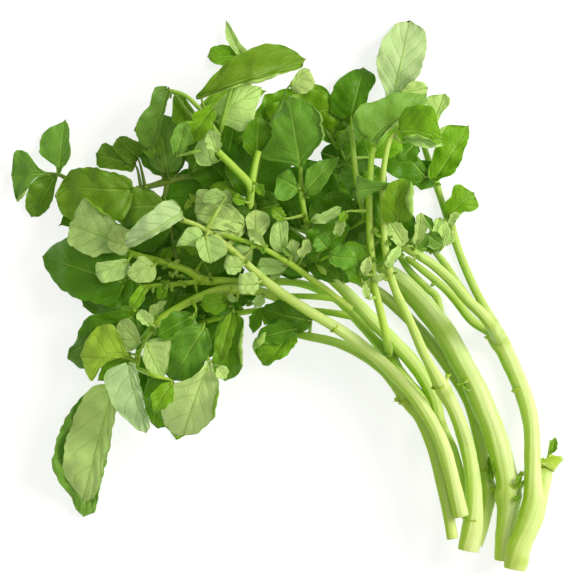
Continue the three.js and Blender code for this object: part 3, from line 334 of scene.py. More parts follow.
        0: [(0, 3, 4), (.2, 3, 5.6), (.39, 1.8, 6), (.55, .9, 5), (.7, .6, 3.6), (.85, .4, 2.2),
            (1, .2, .4)],
        1: [(0, 3, 3), (.2, 5.5, 4.5), (.48, 6.9, 4.1), (.7, 7.2, 3.8), (.85, 4.2, 2.8),
            (.95, 1.8, 1.6), (1, .6, .6)],
        4: [(0, -.5, 6.5), (.06, .4, 8.5), (.2, .9, 9.3), (.39, 1.4, 8.2), (.61, 1.5, 7),
            (.8, 1.6, 5.3), (.92, 1.5, 4.2), (1, 1, 3)],
    },
}

# Margins that roll up over the blade and show its other face: (side, from, to, mm wide), with
# side 1 for left and 0 for right, on the same keys.
ROLLS = {
    ("leafy_stem_02", 18): [(0, 0.05, 0.9, 2.0)],
    ("leafy_stem_05", 18): [(0, 0.12, 0.8, 0.7)],
    ("leafy_stem_08", 1): [(0, 0.3, 0.95, 2.6)],
    ("leafy_stem_05", 19): [(0, 0.1, 0.8, 1.4)],
    ("leafy_stem_07", 2): [(1, 0.1, 0.85, 1.3)],
    ("leafy_stem_03", 7): [(1, 0.3, 0.9, 1.3)],
    ("leafy_stem_06", 4): [(0, 0.1, 0.8, 1.2)],
    ("leafy_stem_01", 9): [(1, 0.6, 0.98, 1.2)],
    ("leafy_stem_06", 1): [(0, 0.08, 0.95, 3.2)],
    ("leafy_stem_05", 5): [(1, 0.3, 0.9, 1.6)],
    ("leafy_stem_07", 4): [(1, 0.2, 0.7, 1.0)],
    ("leafy_stem_04", 5): [(0, 0.3, 0.9, 1.1)],
}

# Smaller leaves, scraps and stalk lengths that fill the bunch. "under" leaves lie below their
# leafy stem's own blades and "over" ones on top. T is a torn scrap of leaf.
FILLINGS = {
    "leafy_stem_01": {"under": [
        (-70, 36, -92, 24.5, 19, 0.12, 0.1, "O"), (-38, 50, -44, 70, 12, 0.1, 0, "D"),
        (-50, 48, -57, 68, 12, 0.1, 0, "D"), (-46, 0, -62, -13, 18, 0.1, 0, "D"),
        (-28, -2, -38, -15, 15, 0.1, 0, "D"), (-24, 52, -21, 67, 13, 0.1, 0, "D"),
        (-15, 24, -2, 30, 12, 0.1, 0, "D"), (-54, -12, -56, -26, 12, 0.1, 0, "D"),
        (-57, -28, -54, -48, 12, 0.1, 0, "D"), (-20, 2, -26, 12, 12, 0.1, 0, "D"),
        (-44, 8, -50, 18, 12, 0.1, 0, "D"), (-14, 10, 0, 6, 10, 0.1, 0, "D"),
        (-24, -4, -20, -12, 7, 0.1, 0, "D"), (-34, -8, -50, 1, 16, 0.1, 0, "D"),
        (-30, 0, -44, -6, 13, 0.1, 0, "D"),
    ], "over": [
        (82.5, -79, 81.6, -68, 2.6, 0.3, 0, "M"), (83.4, -75, 84.4, -69, 1.8, 0.3, 0, "M"),
    ]},
    "leafy_stem_02": {"stems": [
        [(-27, 60, 1), (-33, 69, 0.95), (-40, 76, 0.9), (-47, 78.5, 0.8)],
    ], "under": [
        (-34, 73, -8, 79, 11, 0.1, 0, "Y"), (14, 66, 27, 60, 11, 0.1, 0, "D"),
        (14, 54, 27, 52, 12, 0.1, 0, "D"), (10, 46, 24, 44, 10, 0.1, 0, "D"),
        (-12, 62, -22, 60, 12, 0.1, 0, "D"), (-38, 46, -30, 62, 10, 0.1, 0, "D"),
        (-12, 64, 6, 80, 15, 0.1, 0, "M"), (24, 58, 6, 84, 17, 0.1, 0, "M"),
        (28, 60, 18, 76, 10, 0.1, 0, "D"), (14, 45, 30, 36, 11, 0.1, 0, "D"),
    ], "over": [
        (-29, 72, -40, 56, 9, 0.35, 0, "M"), (22, 56, 24, 62.5, 5, 0.2, 0, "G"),
        (-44, 52, -40, 66, 8, 0.25, 0, "G"), (-12, 52, -11, 68, 12, 0.15, 0, "D"),
        (92, -80.5, 94.6, -75.6, 2.4, 0.3, 0, "T"), (94, -84, 91, -86.5, 1.8, 0.3, 0, "T"),
        (72.6, -42, 69.5, -38, 2, 0.3, 0, "T"), (71.5, -38.5, 68, -39.6, 1.6, 0.3, 0, "T"),
    ]},
    "leafy_stem_03": {"under": [
        (34, 52, 44, 68, 15, 0.1, 0, "M"), (30, 40, 40, 46, 9, 0.1, 0, "D"),
        (52, 58, 44, 50, 10, 0.1, 0, "D"), (26, 8, 24, 22, 10, 0.1, 0, "D"),
        (43, 21, 53, 24, 6, 0.25, 0, "G"), (48, 14, 57, 21, 6.5, 0.2, 0, "G"),
        (56, 21, 63, 16, 6, 0.3, 0, "G"), (62, 15, 63.5, 27, 4.5, 0.3, 0, "P"),
        (50, 16, 54, 28, 5, 0.35, 0, "G"), (41, 20, 48, 26, 6, 0.2, 0, "P"),
        (58, 23, 54, 29, 4, 0.3, 0, "G"), (66, 22, 64, 16, 4, 0.3, 0, "P"),
        (24, 22, 34, 30, 10, 0.1, 0, "D"), (36, 22, 34, 8, 10, 0.1, 0, "D"),
    ], "over": [
        (107, -67, 108.2, -60.5, 3.2, 0.3, 0, "T"),
    ]},
    "leafy_stem_04": {"stems": [
        [(40, -21, 1.5), (34, -14, 1.5), (28, -8.5, 1.5), (22, -5.6, 1.4), (15, -4.4, 1.3),
         (8, -4, 1.2), (0, -3.7, 1.1), (-7, -3.2, 1)],
        [(48, -29, 1.5), (41, -21.5, 1.6), (35, -15.8, 1.6), (28, -12.6, 1.5), (20, -10.9, 1.4),
         (12, -9.8, 1.3), (5, -9.2, 1.2), (-5, -9.5, 1)],
    ], "under": [
        (-64, 3, -66, -13, 11, 0.15, 0, "M"), (-46, 2, -52, -8, 9, 0.15, 0, "D"),
        (-36, -4, -45, -12, 9, 0.15, 0, "D"), (-50, 9.5, -46, 16, 5, 0.3, 0, "M"),
        (-68, 9.5, -59, 12, 5, 0.25, 0, "P"), (-42, 7, -47, 3.5, 3.6, 0.3, 0, "M"),
    ], "over": [
        (-49, 0.5, -51.5, -5.5, 4, 0.3, 0, "M"),
    ]},
    "leafy_stem_05": {"stems": [
        [(26, -9, 1.3), (20, -4.5, 1.3), (15, -0.5, 1.2), (10, 3, 1.2), (0, 10, 1.1), (-10, 15.5, 1),
         (-18, 18.5, 0.9), (-26, 20.5, 0.8)],
        [(-11.2, 54, 1.3), (-12.8, 47, 1.4), (-14, 40, 1.5), (-14.5, 31, 1.4)],
        [(-29.5, 56.5, 1.3), (-27, 53.5, 1.4), (-20, 46.5, 1.5), (-15, 41, 1.6), (-14.2, 37, 1.4)],
    ], "under": [
        (-20, 35, -31, 40, 9, 0.2, 0, "M"), (-35, 28, -40, 38, 7, 0.3, 0, "Y"),
        (6, 24, 3, 33, 6, 0.2, 0, "D"), (-12, 33, -3, 37, 6, 0.2, 0, "D"),
        (27, 14, 27, 25, 5, 0.25, 0, "M"), (31, 16, 30, 22, 3.5, 0.25, 0, "G"),
        (11, 13, 31, 3, 11, 0.1, 0, "D"), (22, 17, 29, 2, 10, 0.1, 0, "D"),
        (-2, 5, 12, 12, 10, 0.1, 0, "D"), (8, 13, 23, 1, 10, 0.1, 0, "D"),
    ], "over": [
        (-16, 33.5, -22, 35.5, 4, 0.3, 0, "M"), (-12, 41, -9, 36, 3.6, 0.35, 0, "M"),
        (31, 4.5, 33, 12, 4.6, 0.3, 0, "P"), (32.5, -5, 31, 1.5, 3, 0.3, 0, "P"),
        (-27.8, 54, -31, 62.5, 6, 0.3, 0, "P"), (24, 30, 21, 25, 3.4, 0.3, 0, "M"),
        (-9, 17, -15.5, 23, 4, 0.35, 0, "P"), (34.5, 2.5, 39, 5, 3, 0.25, 0, "P"),
        (2, 12, -2, 16, 2.6, 0.3, 0, "G"),
    ]},
    "leafy_stem_07": {"under": [
        (-42, -54, -44.5, -62, 7, 0.1, 0, "M"), (-63, -27, -76, -38, 9, 0.2, 0, "M"),
        (-24, -10, -33, -30, 13, 0.15, 0, "D"), (-12, -2, -26, -7, 8, 0.2, 0, "D"),
        (-38, -12, -52, -20, 9, 0.2, 0, "D"),
    ], "over": [
        (-24, -5.5, -35, -7.5, 9, 0.15, 0, "M"), (-10, -9, -13.5, -19, 6, 0.25, 0, "M"),
        (-5, -9.5, -9, -15.5, 5, 0.25, 0, "Y"), (-9, -3.5, -13, -8.5, 4.5, 0.3, 0, "P"),
        (-45.5, -38, -53, -50.5, 8, 0.12, 0, "M"), (-22, -11, -27, -31, 6, 0.3, 0, "M"),
        (-27, -31.5, -24, -37, 5, 0.3, 0, "P"), (-20, -6, -24, -3, 2.6, 0.3, 0, "P"),
        (-36, -10, -37.5, -14, 1.8, 0.3, 0, "M"),
    ]},
    "leafy_stem_09": {"under": [
        (-17, 25, -36, 29, 11, 0.3, 0, "P"), (-19, 21, -31, 22.5, 6, 0.35, 0, "P"),
        (-14, 14.5, -25, 8, 8, 0.3, 0, "P"), (-32, 22, -42, 18, 7, 0.3, 0, "P"),
        (-28, 20, -22, 12.5, 5, 0.35, 0, "P"), (-7, 3, -2, 5.5, 3, 0.3, 0, "P"),
        (-24, 36, -34, 34, 7, 0.3, 0, "P"),
    ]},
}

# Ragged leaf bases round the joints: (line of the stem, x, y, mm long, mm of flare).
SHEATHS = {
    "leafy_stem_01": [(0, 85, -83.5, 4.4, 1.6), (0, 80.2, -75.5, 2, 0.3), (1, 84, -68.5, 2.4, 0.8)],
    "leafy_stem_02": [(0, 96, -82, 5.4, 1.8), (1, 94, -76.5, 2.4, 0.8), (0, 72, -39, 2.4, 0.5),
        (2, 61, -5, 2, 0.4)],
    "leafy_stem_03": [(1, 107, -73, 5.6, 1.8), (2, 107, -63, 2.2, 0.8), (0, 91, -43, 2.4, 0.5),
        (0, 84.5, -20, 2.6, 0.6), (1, 92, -108, 4.4, 1.2)],
    "leafy_stem_04": [(0, -33, 2.5, 2.2, 0.6), (0, 57, -48, 2, 0.3)],
    "leafy_stem_05": [(0, 62, -56, 2.6, 0.5), (1, 41.5, -27.5, 2.4, 0.6)],
    "leafy_stem_06": [(0, 75, -94.5, 2, 0.25), (0, 62, -40, 2.8, 0.6), (1, 64.3, -36.5, 1.8, 0.6)],
    "leafy_stem_07": [(0, -21.5, -1, 2.4, 0.6), (0, 60.5, -59, 2, 0.3)],
    "leafy_stem_08": [(0, 48.5, -46.5, 2.8, 0.7), (1, 45.2, -45.5, 2, 0.7)],
    "leafy_stem_09": [(0, 20, -16.5, 2, 0.4), (0, -20, 13, 1.6, 0.3)],
}
# Which lines of each leafy stem end in a cut or broken face, and whether at their far end.
CUT_ENDS = {
    "leafy_stem_01": [(0, False), (2, True)],
    "leafy_stem_02": [(0, False)],
    "leafy_stem_03": [(0, False), (1, False), (1, True)],
    "leafy_stem_04": [(0, False)],
    "leafy_stem_05": [(0, False)],
    "leafy_stem_06": [(0, False)],
    "leafy_stem_07": [(0, False)],
    "leafy_stem_08": [(0, False), (1, True)],
    "leafy_stem_09": [(0, False)],
}
# Clusters of axil buds: (x, y, mm of spread, how many).
BUD_CLUSTERS = {
    "leafy_stem_01": [(-58, 39, 2, 3)],
    "leafy_stem_02": [(-14, 35, 2.5, 5), (35, 29, 2.5, 4), (57, -1, 2, 3), (44, 14, 2.5, 4)],
    "leafy_stem_03": [(64, 31, 2, 4), (60, 42, 2, 3), (46, 17, 3, 6), (57, 18, 2.5, 5),
        (52, 14, 2.5, 4)],
    "leafy_stem_04": [(-33, 4, 2.5, 5), (-40, 3.5, 3, 6), (-46, 3, 3, 7), (-53, 2.5, 3, 6),
        (-60, 1.5, 2.5, 4), (-47, 9, 2, 3)],
    "leafy_stem_05": [(8, 26, 2, 4), (6, 38, 1.5, 3), (0, 12, 3, 7), (-5, 15, 2.5, 5),
        (41, -26, 1.5, 3), (5, 8, 2.5, 5), (-11, 17, 2, 4), (34, 12, 2, 4), (32.5, 3, 2, 4),
        (33, 21, 1.5, 3)],
    "leafy_stem_06": [(41, 5, 1.8, 4), (39, 19, 2, 4), (38.5, 34, 1.5, 2)],
    "leafy_stem_07": [(-12, -6, 3, 6), (-21, -9, 2.5, 5), (-52, -15, 2.5, 5), (-58, -23, 2, 4),
        (-35, -14, 2, 4), (-27, -12, 2, 3)],
    "leafy_stem_09": [(-31, 21, 1.8, 3), (-17, 11, 1.5, 2)],
}
# Blades that lie below their own stem: (leafy stem, place in its list of blades).
UNDERLAID = {("leafy_stem_04", 10), ("leafy_stem_04", 2), ("leafy_stem_04", 0),
             ("leafy_stem_01", 0), ("leafy_stem_01", 4), ("leafy_stem_07", 5),
             ("leafy_stem_07", 6), ("leafy_stem_07", 7)}

# Colours along each leafy stem, from its cut end to its growing tip, as sRGB 0 to 255.
STEM_COLOURS = {
    "leafy_stem_01": ((221, 236, 116), (130, 152, 54)),
    "leafy_stem_02": ((230, 242, 144), (160, 197, 60)),
    "leafy_stem_03": ((230, 242, 136), (168, 203, 64)),
    "leafy_stem_04": ((222, 237, 112), (200, 240, 52)),
    "leafy_stem_05": ((226, 240, 118), (186, 222, 66)),
    "leafy_stem_06": ((228, 239, 138), (202, 226, 114)),
    "leafy_stem_07": ((222, 237, 116), (212, 246, 70)),
    "leafy_stem_08": ((222, 237, 122), (182, 214, 80)),
    "leafy_stem_09": ((222, 237, 132), (214, 234, 122)),
}

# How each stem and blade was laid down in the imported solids, in millimetres or as shares.
BLADE_THICKNESS = 0.9
STALK_RADIUS = 0.85
STALK_END_RADIUS = 0.42
SHORTEST_STALK = 1.2
ROOT_SHARE = 0.6
STALK_STEP = 10
FLAT_SIDE_SHARE = math.cos(math.pi / 8)
RING_SPACING = 13
SINK_INTO_FLOOR = 0.12
CLEARANCE = 0.5
STEM_SAG = 0.0035
BLADE_SAG = 0.012
STALK_SAG = 0.05
BRANCH_DROP = 0.1
SAMPLE_STEP = 0.8
FINE_STEP = 0.5
BLADE_SAMPLES = 20
PILE_HALF_SIZE = 130
PILE_SIZE = 2 * PILE_HALF_SIZE + 1
LEAST_SHARE = 0.25
SINKING = 3.2
LOWEST_SUNK = 0.5
FILLING_SPACING = 6
LONGEST_FILLING_STALK = 22
FIRST_FILLING, FILLING_STEP = 500, 5
ROUNDNESS = 2.3
OUTLINE_POWER = 0.88
TAPER_SHIFT = 0.35
STATIONS = ((27, (0, 0.12, 0.34, 0.62, 0.88, 1)), (16, (0, 0.16, 0.5, 0.84, 1)),
            (0, (0, 0.22, 0.78, 1)))


def draw(number, purpose):
    """A repeatable draw between 0 and 1 for one blade and one purpose."""
    wide = math.sin(number * 12.9898 + purpose * 78.233) * 43758.5453
    return wide - math.floor(wide)


def linear(colour):
    """An sRGB colour of 0 to 255 as scene-linear red, green and blue."""
    shares = np.asarray(colour, float) / 255.0
    return np.where(shares <= 0.04045, shares / 12.92, ((shares + 0.055) / 1.055) ** 2.4)


def catmull_rom(points, index, share):
    """A point of the smooth curve through the points, on the reach that starts at index."""
    before = points[index - 1] if index > 0 else 2 * points[0] - points[1]
    start, end = points[index], points[index + 1]
    after = points[index + 2] if index + 2 < len(points) else 2 * end - start
    leave, arrive = 0.5 * (end - before), 0.5 * (after - start)
    return (start + leave * share + (3 * (end - start) - 2 * leave - arrive) * share ** 2
            + (2 * (start - end) + leave + arrive) * share ** 3)


def smooth_route(points, spacing):
    """Points [x, y, radius] along the smooth curve, and where each lies in reaches."""
    points = np.asarray(points, float)
    route, places = [], []
    for index in range(len(points) - 1):
        reach = math.dist(points[index][:2], points[index + 1][:2])
        steps = max(1, math.floor(reach / spacing + 0.5))
        for k in range(steps):
            route.append(catmull_rom(points, index, k / steps))
            places.append(index + k / steps)
    route.append(points[-1])
    places.append(len(points) - 1)
    return np.array(route), np.array(places, float)


def distances(points):
    """Plan distance of each point from the first, along the points."""
    steps = np.hypot(*np.diff(points[:, :2], axis=0).T)
    return np.concatenate([[0.0], np.cumsum(steps)])


def pass_through(known, values, wanted):
    """Values at the wanted places on a smooth line that never overshoots the known ones."""
    known, values = np.asarray(known, float), np.asarray(values, float)
    gaps = np.diff(known)
    slopes = np.diff(values) / gaps
    tangents = np.empty_like(values)
    tangents[0], tangents[-1] = slopes[0], slopes[-1]
    before, after = slopes[:-1], slopes[1:]
    same = before * after > 0
    safe = np.where(same, before + after, 1)
    tangents[1:-1] = np.where(same, 2 * before * after / safe, 0)
    index = np.clip(np.searchsorted(known, wanted, side="right") - 1, 0, len(gaps) - 1)
    gap = gaps[index]
    share = np.clip((np.asarray(wanted) - known[index]) / gap, 0, 1)
    return ((2 * share ** 3 - 3 * share ** 2 + 1) * values[index]
            + (share ** 3 - 2 * share ** 2 + share) * gap * tangents[index]
            + (3 * share ** 2 - 2 * share ** 3) * values[index + 1]
            + (share ** 3 - share ** 2) * gap * tangents[index + 1])


class Pile:
    """The height of the top of the bunch so far, over cells of one millimetre."""

    def __init__(self, heights=None):
        if heights is None:
            heights = np.full((PILE_SIZE, PILE_SIZE), -SINK_INTO_FLOOR - CLEARANCE)
        self.heights = heights

    @staticmethod
    def cells(x, y):
        """The rows and columns of the cells at these places."""
        column = np.floor(np.asarray(x) + 0.5).astype(int) + PILE_HALF_SIZE
        row = np.floor(np.asarray(y) + 0.5).astype(int) + PILE_HALF_SIZE
        return np.clip(row, 0, PILE_SIZE - 1), np.clip(column, 0, PILE_SIZE - 1)

    def lift(self, x, y, z):
        """Raises the cells at these places to at least these heights."""
        np.maximum.at(self.heights, self.cells(x, y), z)

    def around(self):
        """The highest of each cell and its eight neighbours."""
        padded = np.pad(self.heights, 1, mode="edge")
        size = PILE_SIZE
        return np.max([padded[r:r + size, c:c + size] for r in range(3) for c in range(3)],
                      axis=0)

    def tube_height(self, x, y, radius):
        """The least centre height of a tube of this radius here that clears the pile."""
        reach = radius + CLEARANCE
        steps = np.arange(int(2 * reach / FINE_STEP + 1e-9) + 1) * FINE_STEP - reach
        dx, dy = np.meshgrid(steps, steps)
        flat = np.hypot(dx, dy)
        drop = np.sqrt(np.maximum(0, radius ** 2 - flat ** 2))
        drop = np.minimum(drop, FLAT_SIDE_SHARE * radius)
        tops = self.heights[self.cells(x + dx, y + dy)] + CLEARANCE + drop
        return tops[flat <= reach].max()

    def lift_tube(self, route):
        """Raises the pile by a tube along [x, y, z, radius] points."""
        along = distances(route)
        for i in range(len(route) - 1):
            steps = max(1, math.ceil((along[i + 1] - along[i]) / FINE_STEP))
            for k in range(steps + 1):
                x, y, z, radius = route[i] + (route[i + 1] - route[i]) * (k / steps)
                count = int(2 * radius / FINE_STEP + 1e-9) + 1
                offsets = np.arange(count) * FINE_STEP - radius
                dx, dy = np.meshgrid(offsets, offsets)
                flat = dx ** 2 + dy ** 2
                inside = flat <= radius ** 2
                rise = np.sqrt(np.maximum(0, radius ** 2 - flat))
                self.lift((x + dx)[inside], (y + dy)[inside], (z + rise)[inside])

    def lift_blade(self, rows):
        """Raises the pile by a blade, from its rows of left, middle and right points."""
        shares = np.arange(BLADE_SAMPLES + 1) / BLADE_SAMPLES
        u, v = np.meshgrid(shares, shares, indexing="ij")
        u, v = u[..., None], v[..., None]
        for i in range(len(rows) - 1):
            for k in range(2):
                near = rows[i, k] + (rows[i, k + 1] - rows[i, k]) * v
                far = rows[i + 1, k] + (rows[i + 1, k + 1] - rows[i + 1, k]) * v
                points = near + (far - near) * u
                self.lift(points[..., 0], points[..., 1],
                          points[..., 2] + BLADE_THICKNESS / 2)


def lay_route(pile, route, sag, start=None, end_z=None):
    """Gives each [x, y, radius] its height on the pile, bending gently, as [x, y, z, radius]."""
    along = distances(route)
    needs = []
    for i in range(len(route) - 1):
        steps = max(1, math.ceil((along[i + 1] - along[i]) / SAMPLE_STEP))
        for k in range(steps):
            share = k / steps
            x, y, radius = route[i] + (route[i + 1] - route[i]) * share
            distance = along[i] + (along[i + 1] - along[i]) * share
            if distance >= (start[3] + radius if start is not None else 0):
                needs.append((distance, pile.tube_height(x, y, radius)))
    laid = np.column_stack([route[:, :2], np.zeros(len(route)), route[:, 2]])
    for i, distance in enumerate(along):
        z = FLAT_SIDE_SHARE * route[i, 2] - SINK_INTO_FLOOR
        if start is not None and end_z is not None:
            z = start[2] + (end_z - start[2]) * distance / along[-1]
        elif start is not None:
            z = max(z, start[2] - sag * distance ** 2 - BRANCH_DROP * distance)
        for place, height in needs:
            z = max(z, height - sag * (distance - place) ** 2)
        laid[i, 2] = z
    if start is not None:
        laid[0, 2] = start[2]
    if end_z is not None:
        laid[-1, 2] = end_z
    return laid


def nearest_on(routes, x, y):
    """The nearest [x, y, z, radius] on the centre lines of a leafy stem."""
    best, least = None, math.inf
    for route in routes:
        for a, b in zip(route[:-1], route[1:]):
            step = b - a
            share = ((x - a[0]) * step[0] + (y - a[1]) * step[1]) / (step[0] ** 2 + step[1] ** 2)
            point = a + step * min(1, max(0, share))
            apart = math.hypot(point[0] - x, point[1] - y)
            if apart < least:
                best, least = point, apart
    return best


def half_width_share(t, taper, least):
    """The outline of a rounded blade, as a share of its widest half width."""
    spread = np.abs(2 * t ** (OUTLINE_POWER - TAPER_SHIFT * taper) - 1)
    rounded = (1 - np.minimum(1, spread) ** ROUNDNESS) ** (1 / ROUNDNESS)
    return np.maximum(least, rounded * (1 - taper * t * t))


class Blade:
    """One leaf blade: its place and form in the plan, and its heights once it is laid down."""

    def __init__(self, blade, number):
        base_x, base_y, tip_x, tip_y, self.width, self.fold, self.taper, self.look = blade
        self.number = number
        self.base = np.array([base_x, base_y], float)
        self.length = math.hypot(tip_x - base_x, tip_y - base_y)
        self.along = np.array([tip_x - base_x, tip_y - base_y]) / self.length
        self.bend = (draw(number, 1) - 0.5) * 0.1 * self.length
        self.rise = (draw(number, 2) - 0.35) * 0.35 * self.length
        self.arch = (0.05 + 0.1 * draw(number, 3)) * self.length
        self.roll = (draw(number, 4) - 0.5) * 0.7
        self.wave_phase = draw(number, 5)
        self.stations = np.array(next(s for least, s in STATIONS if self.length >= least), float)
        self.rows = None
        self.margin = None
        self.rolls = []
        self.pointed = 1 / ROUNDNESS

    def plan(self, t, sideways):
        """Plan places at t along the blade and so far to its left."""
        sideways = sideways + self.bend * np.sin(math.pi * t)
        x = self.base[0] + self.along[0] * self.length * t - self.along[1] * sideways
        y = self.base[1] + self.along[1] * self.length * t + self.along[0] * sideways
        return x, y

    def lay(self, pile):
        """Drops the blade on the pile and keeps the rows of its solid."""
        t = self.stations[:, None]
        s = np.array([[1.0, 0.0, -1.0]])
        half = 0.5 * self.width * half_width_share(t, self.taper, LEAST_SHARE)
        x, y = self.plan(t, s * half)
        wave = 0.14 * half * np.sin(2 * math.pi * (1.7 * t + 0.3 * s + self.wave_phase))
        z = (self.rise * t + self.arch * np.sin(math.pi * t) + self.fold * half * np.abs(s)
             + self.roll * half * s + wave * s * s)
        rows = np.stack([x, y, z], axis=-1)
        steps = max(4, math.ceil(self.length / SAMPLE_STEP))
        strips = max(2, math.ceil(self.width / SAMPLE_STEP / 2))
        t = np.arange(steps + 1) / steps
        first = np.searchsorted(self.stations, t, side="right") - 1
        first = np.minimum(first, len(self.stations) - 2)
        share = (t - self.stations[first]) / (self.stations[first + 1] - self.stations[first])
        middle = rows[first, 1] + (rows[first + 1, 1] - rows[first, 1]) * share[:, None]
        around = pile.around()
        lift = np.full(len(t), -np.inf)
        for edge, ks in ((0, range(0, strips + 1)), (2, range(1, strips + 1))):
            side = rows[first, edge] + (rows[first + 1, edge] - rows[first, edge]) * share[:, None]
            for k in ks:
                place = middle + (side - middle) * (k / strips)
                top = around[pile.cells(place[:, 0], place[:, 1])]
                need = top + CLEARANCE - (place[:, 2] - BLADE_THICKNESS / 2)
                lift = np.maximum(lift, need)
        apart = (self.stations[:, None] - t[None, :]) * self.length
        rows[..., 2] += (lift[None, :] - BLADE_SAG * apart ** 2).max(axis=1)[:, None]
        self.rows = rows

    def sink(self):
        """Lets the blade down a little, so that its own stem runs over it."""
        self.rows[..., 2] = np.maximum(self.rows[..., 2] - SINKING, LOWEST_SUNK)

    def flatten(self):
        """Makes the blade nearly flat, as one that is pressed down by what lies on it."""
        self.rise, self.arch, self.roll = 0.2 * self.rise, 0.3 * self.arch, 0

    def stalk(self, pile, stem_point):
        """The stalk from the stem's centre line to a little way inside the blade."""
        base, inner = self.rows[0, 1], self.rows[1, 1]
        length = math.hypot(*(base[:2] - stem_point[:2]))
        count = max(1, math.floor(length / STALK_STEP + 0.5))
        shares = np.arange(count + 1)[:, None] / count
        route = stem_point[:2] + (base[:2] - stem_point[:2]) * shares
        radii = np.where(np.arange(count + 1) < count, STALK_RADIUS, STALK_END_RADIUS)
        if length > SHORTEST_STALK:
            laid = lay_route(pile, np.column_stack([route, radii]), STALK_SAG, stem_point, base[2])
        else:
            laid = np.array([[*stem_point[:3], STALK_RADIUS]])
        end = base + (inner - base) * ROOT_SHARE
        return np.vstack([laid, [*end, STALK_END_RADIUS]])


class LeafyStem:
    """One stem with its branches, leaf stalks and blades, laid on the pile."""

    def __init__(self, name, plan, pile, first_number):
        self.name = name
        self.routes, self.fine, self.blades, self.stalks, self.joints = [], [], [], [], []
        own, below = Pile(pile.heights.copy()), Pile(pile.heights.copy())
        self.lay_stems(plan["stems"], pile, own)
        self.lay_blades(plan["blades"], own, below, first_number)
        pile.heights[:] = own.heights
        self.lay_fillings(FILLINGS.get(name, {}), own, below,
                          FIRST_FILLING + FILLING_STEP * first_number)

    def lay_stems(self, stems, pile, own):
        """Lays the main stem on the pile, then each branch from the nearest place on a stem."""
        for points in stems:
            route, places = smooth_route(points, RING_SPACING)
            start = nearest_on(self.routes, *route[0, :2]) if self.routes else None
            offset = np.zeros(2)
            if start is not None:
                offset = start[:2] - route[0, :2]
                route[0, :2] = start[:2]
                self.joints.append(start)
            self.add_stem(points, places, lay_route(pile, route, STEM_SAG, start), offset, own)

    def add_stem(self, points, places, laid, offset, own):
        """Keeps a stem that has its heights, and raises the leafy stem's own pile by it."""
        self.routes.append(laid)
        self.fine.append(self.refine(points, laid, places, offset))
        own.lift_tube(laid)

    def lay_blades(self, blades, own, below, first_number):
        """Lays the blades with their stalks, some of them below the stem."""
        for index, blade in enumerate(blades):
            blade = Blade(blade, first_number + index)
            blade.margin = MARGINS.get(self.name, {}).get(index)
            blade.rolls = ROLLS.get((self.name, index), [])
            level = below if (self.name, index) in UNDERLAID else own
            stem_point = self.lay_blade(blade, level, level is below)
            stalk = blade.stalk(level, stem_point)
            level.lift_blade(blade.rows)
            level.lift_tube(stalk)
            self.joints.append(stem_point)
            self.stalks.append(stalk)

    def lay_fillings(self, filling, own, below, first_number):
        """Lays the short stems and small leaves that fill the bunch."""
        for points in filling.get("stems", ()):
            route, places = smooth_route(points, FILLING_SPACING)
            self.add_stem(points, places, lay_route(own, route, STEM_SAG), np.zeros(2), own)
        scraps = [(below, blade) for blade in filling.get("under", ())]
        scraps += [(own, blade) for blade in filling.get("over", ())]
        for index, (level, blade) in enumerate(scraps):
            blade = Blade(blade, first_number + index)
            blade.pointed = 0.7 + 0.7 * draw(blade.number, 13)
            stem_point = self.lay_blade(blade, level, level is below)
            near = math.hypot(*(blade.base - stem_point[:2])) < LONGEST_FILLING_STALK
            self.stalks.append(blade.stalk(level, stem_point) if near else None)
            level.lift_blade(blade.rows)

    def lay_blade(self, blade, level, sunk):
        """Lays one blade and gives the nearest place on a stem, where its stalk starts."""
        if sunk:
            blade.flatten()
        blade.lay(level)
        if sunk:
            blade.sink()
        self.blades.append(blade)
        return nearest_on(self.routes, *blade.base)

    @staticmethod
    def refine(points, laid, places, offset):
        """The same route with a point about every millimetre and a half."""
        fine, fine_places = smooth_route(points, FINE_SPACING)
        fine[:, :2] += offset * np.clip(1 - fine_places, 0, 1)[:, None]
        along = distances(fine)
        rings = np.interp(places, fine_places, along)
        z = pass_through(rings, laid[:, 2], along)
        return np.column_stack([fine[:, :2], z, fine[:, 2]])


@functools.cache
def lay_bunch():
    """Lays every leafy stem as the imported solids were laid, one on another, once."""
    pile = Pile()
    plants, number = [], 0
    for name, plan in LEAFY_STEMS.items():
        plants.append(LeafyStem(name, plan, pile, number))
        number += len(plan["blades"])
    return plants


# The looks of the pieces, as sRGB 0 to 255: first how each kind of leaf blade looks from above.
# GREY and BLUISH are green leaf colours with a painted sheen in them, as a grey or a blue cast.
DARK, MIDDLE, GREY = (82, 134, 4), (114, 164, 16), (108, 154, 52)
PALE, WHITISH, YELLOW = (182, 215, 124), (174, 202, 140), (168, 210, 62)
BLUISH, LIGHT, OLIVE = (102, 157, 40), (206, 236, 146), (104, 144, 26)
RAGGED, BUD_GREEN, BUD_YOUNG = (184, 216, 62), (112, 160, 24), (176, 204, 92)
LOOKS = {"D": "dark", "M": "middle", "G": "grey", "P": "pale", "Y": "yellow", "T": "middle",
         "W": "whitish", "B": "bluish", "L": "light", "O": "olive"}
FACE_DOWN = "PWL"

# How finely the pieces are made: spacings and least heights over the floor in millimetres, and
# counts of rows, columns and sides.
FINE_SPACING = 1.5
ROW_SPACING, LEAST_ROWS = 0.9, 14
COLUMN_SPACING, LEAST_COLUMNS, LIP_COLUMNS = 1.0, 11, 4
LOWEST, LOWEST_TOP = 0.03, 0.25
STEM_SIDES = 36
SHEATH_SIDES, SHEATH_ROWS = 36, 6
BUD_SPREAD, BUD_SEED = 0.55, 3

# Half the side of the floor, in metres.
FLOOR_HALF = 1.5


def colour_prop(name, description, colour):
    """A colour for the sidebar, given as sRGB 0 to 255."""
    default = [float(v) for v in linear(colour)]
    return bpy.props.FloatVectorProperty(
        name=name, description=description, subtype="COLOR", size=3, min=0, max=1,
        default=default)


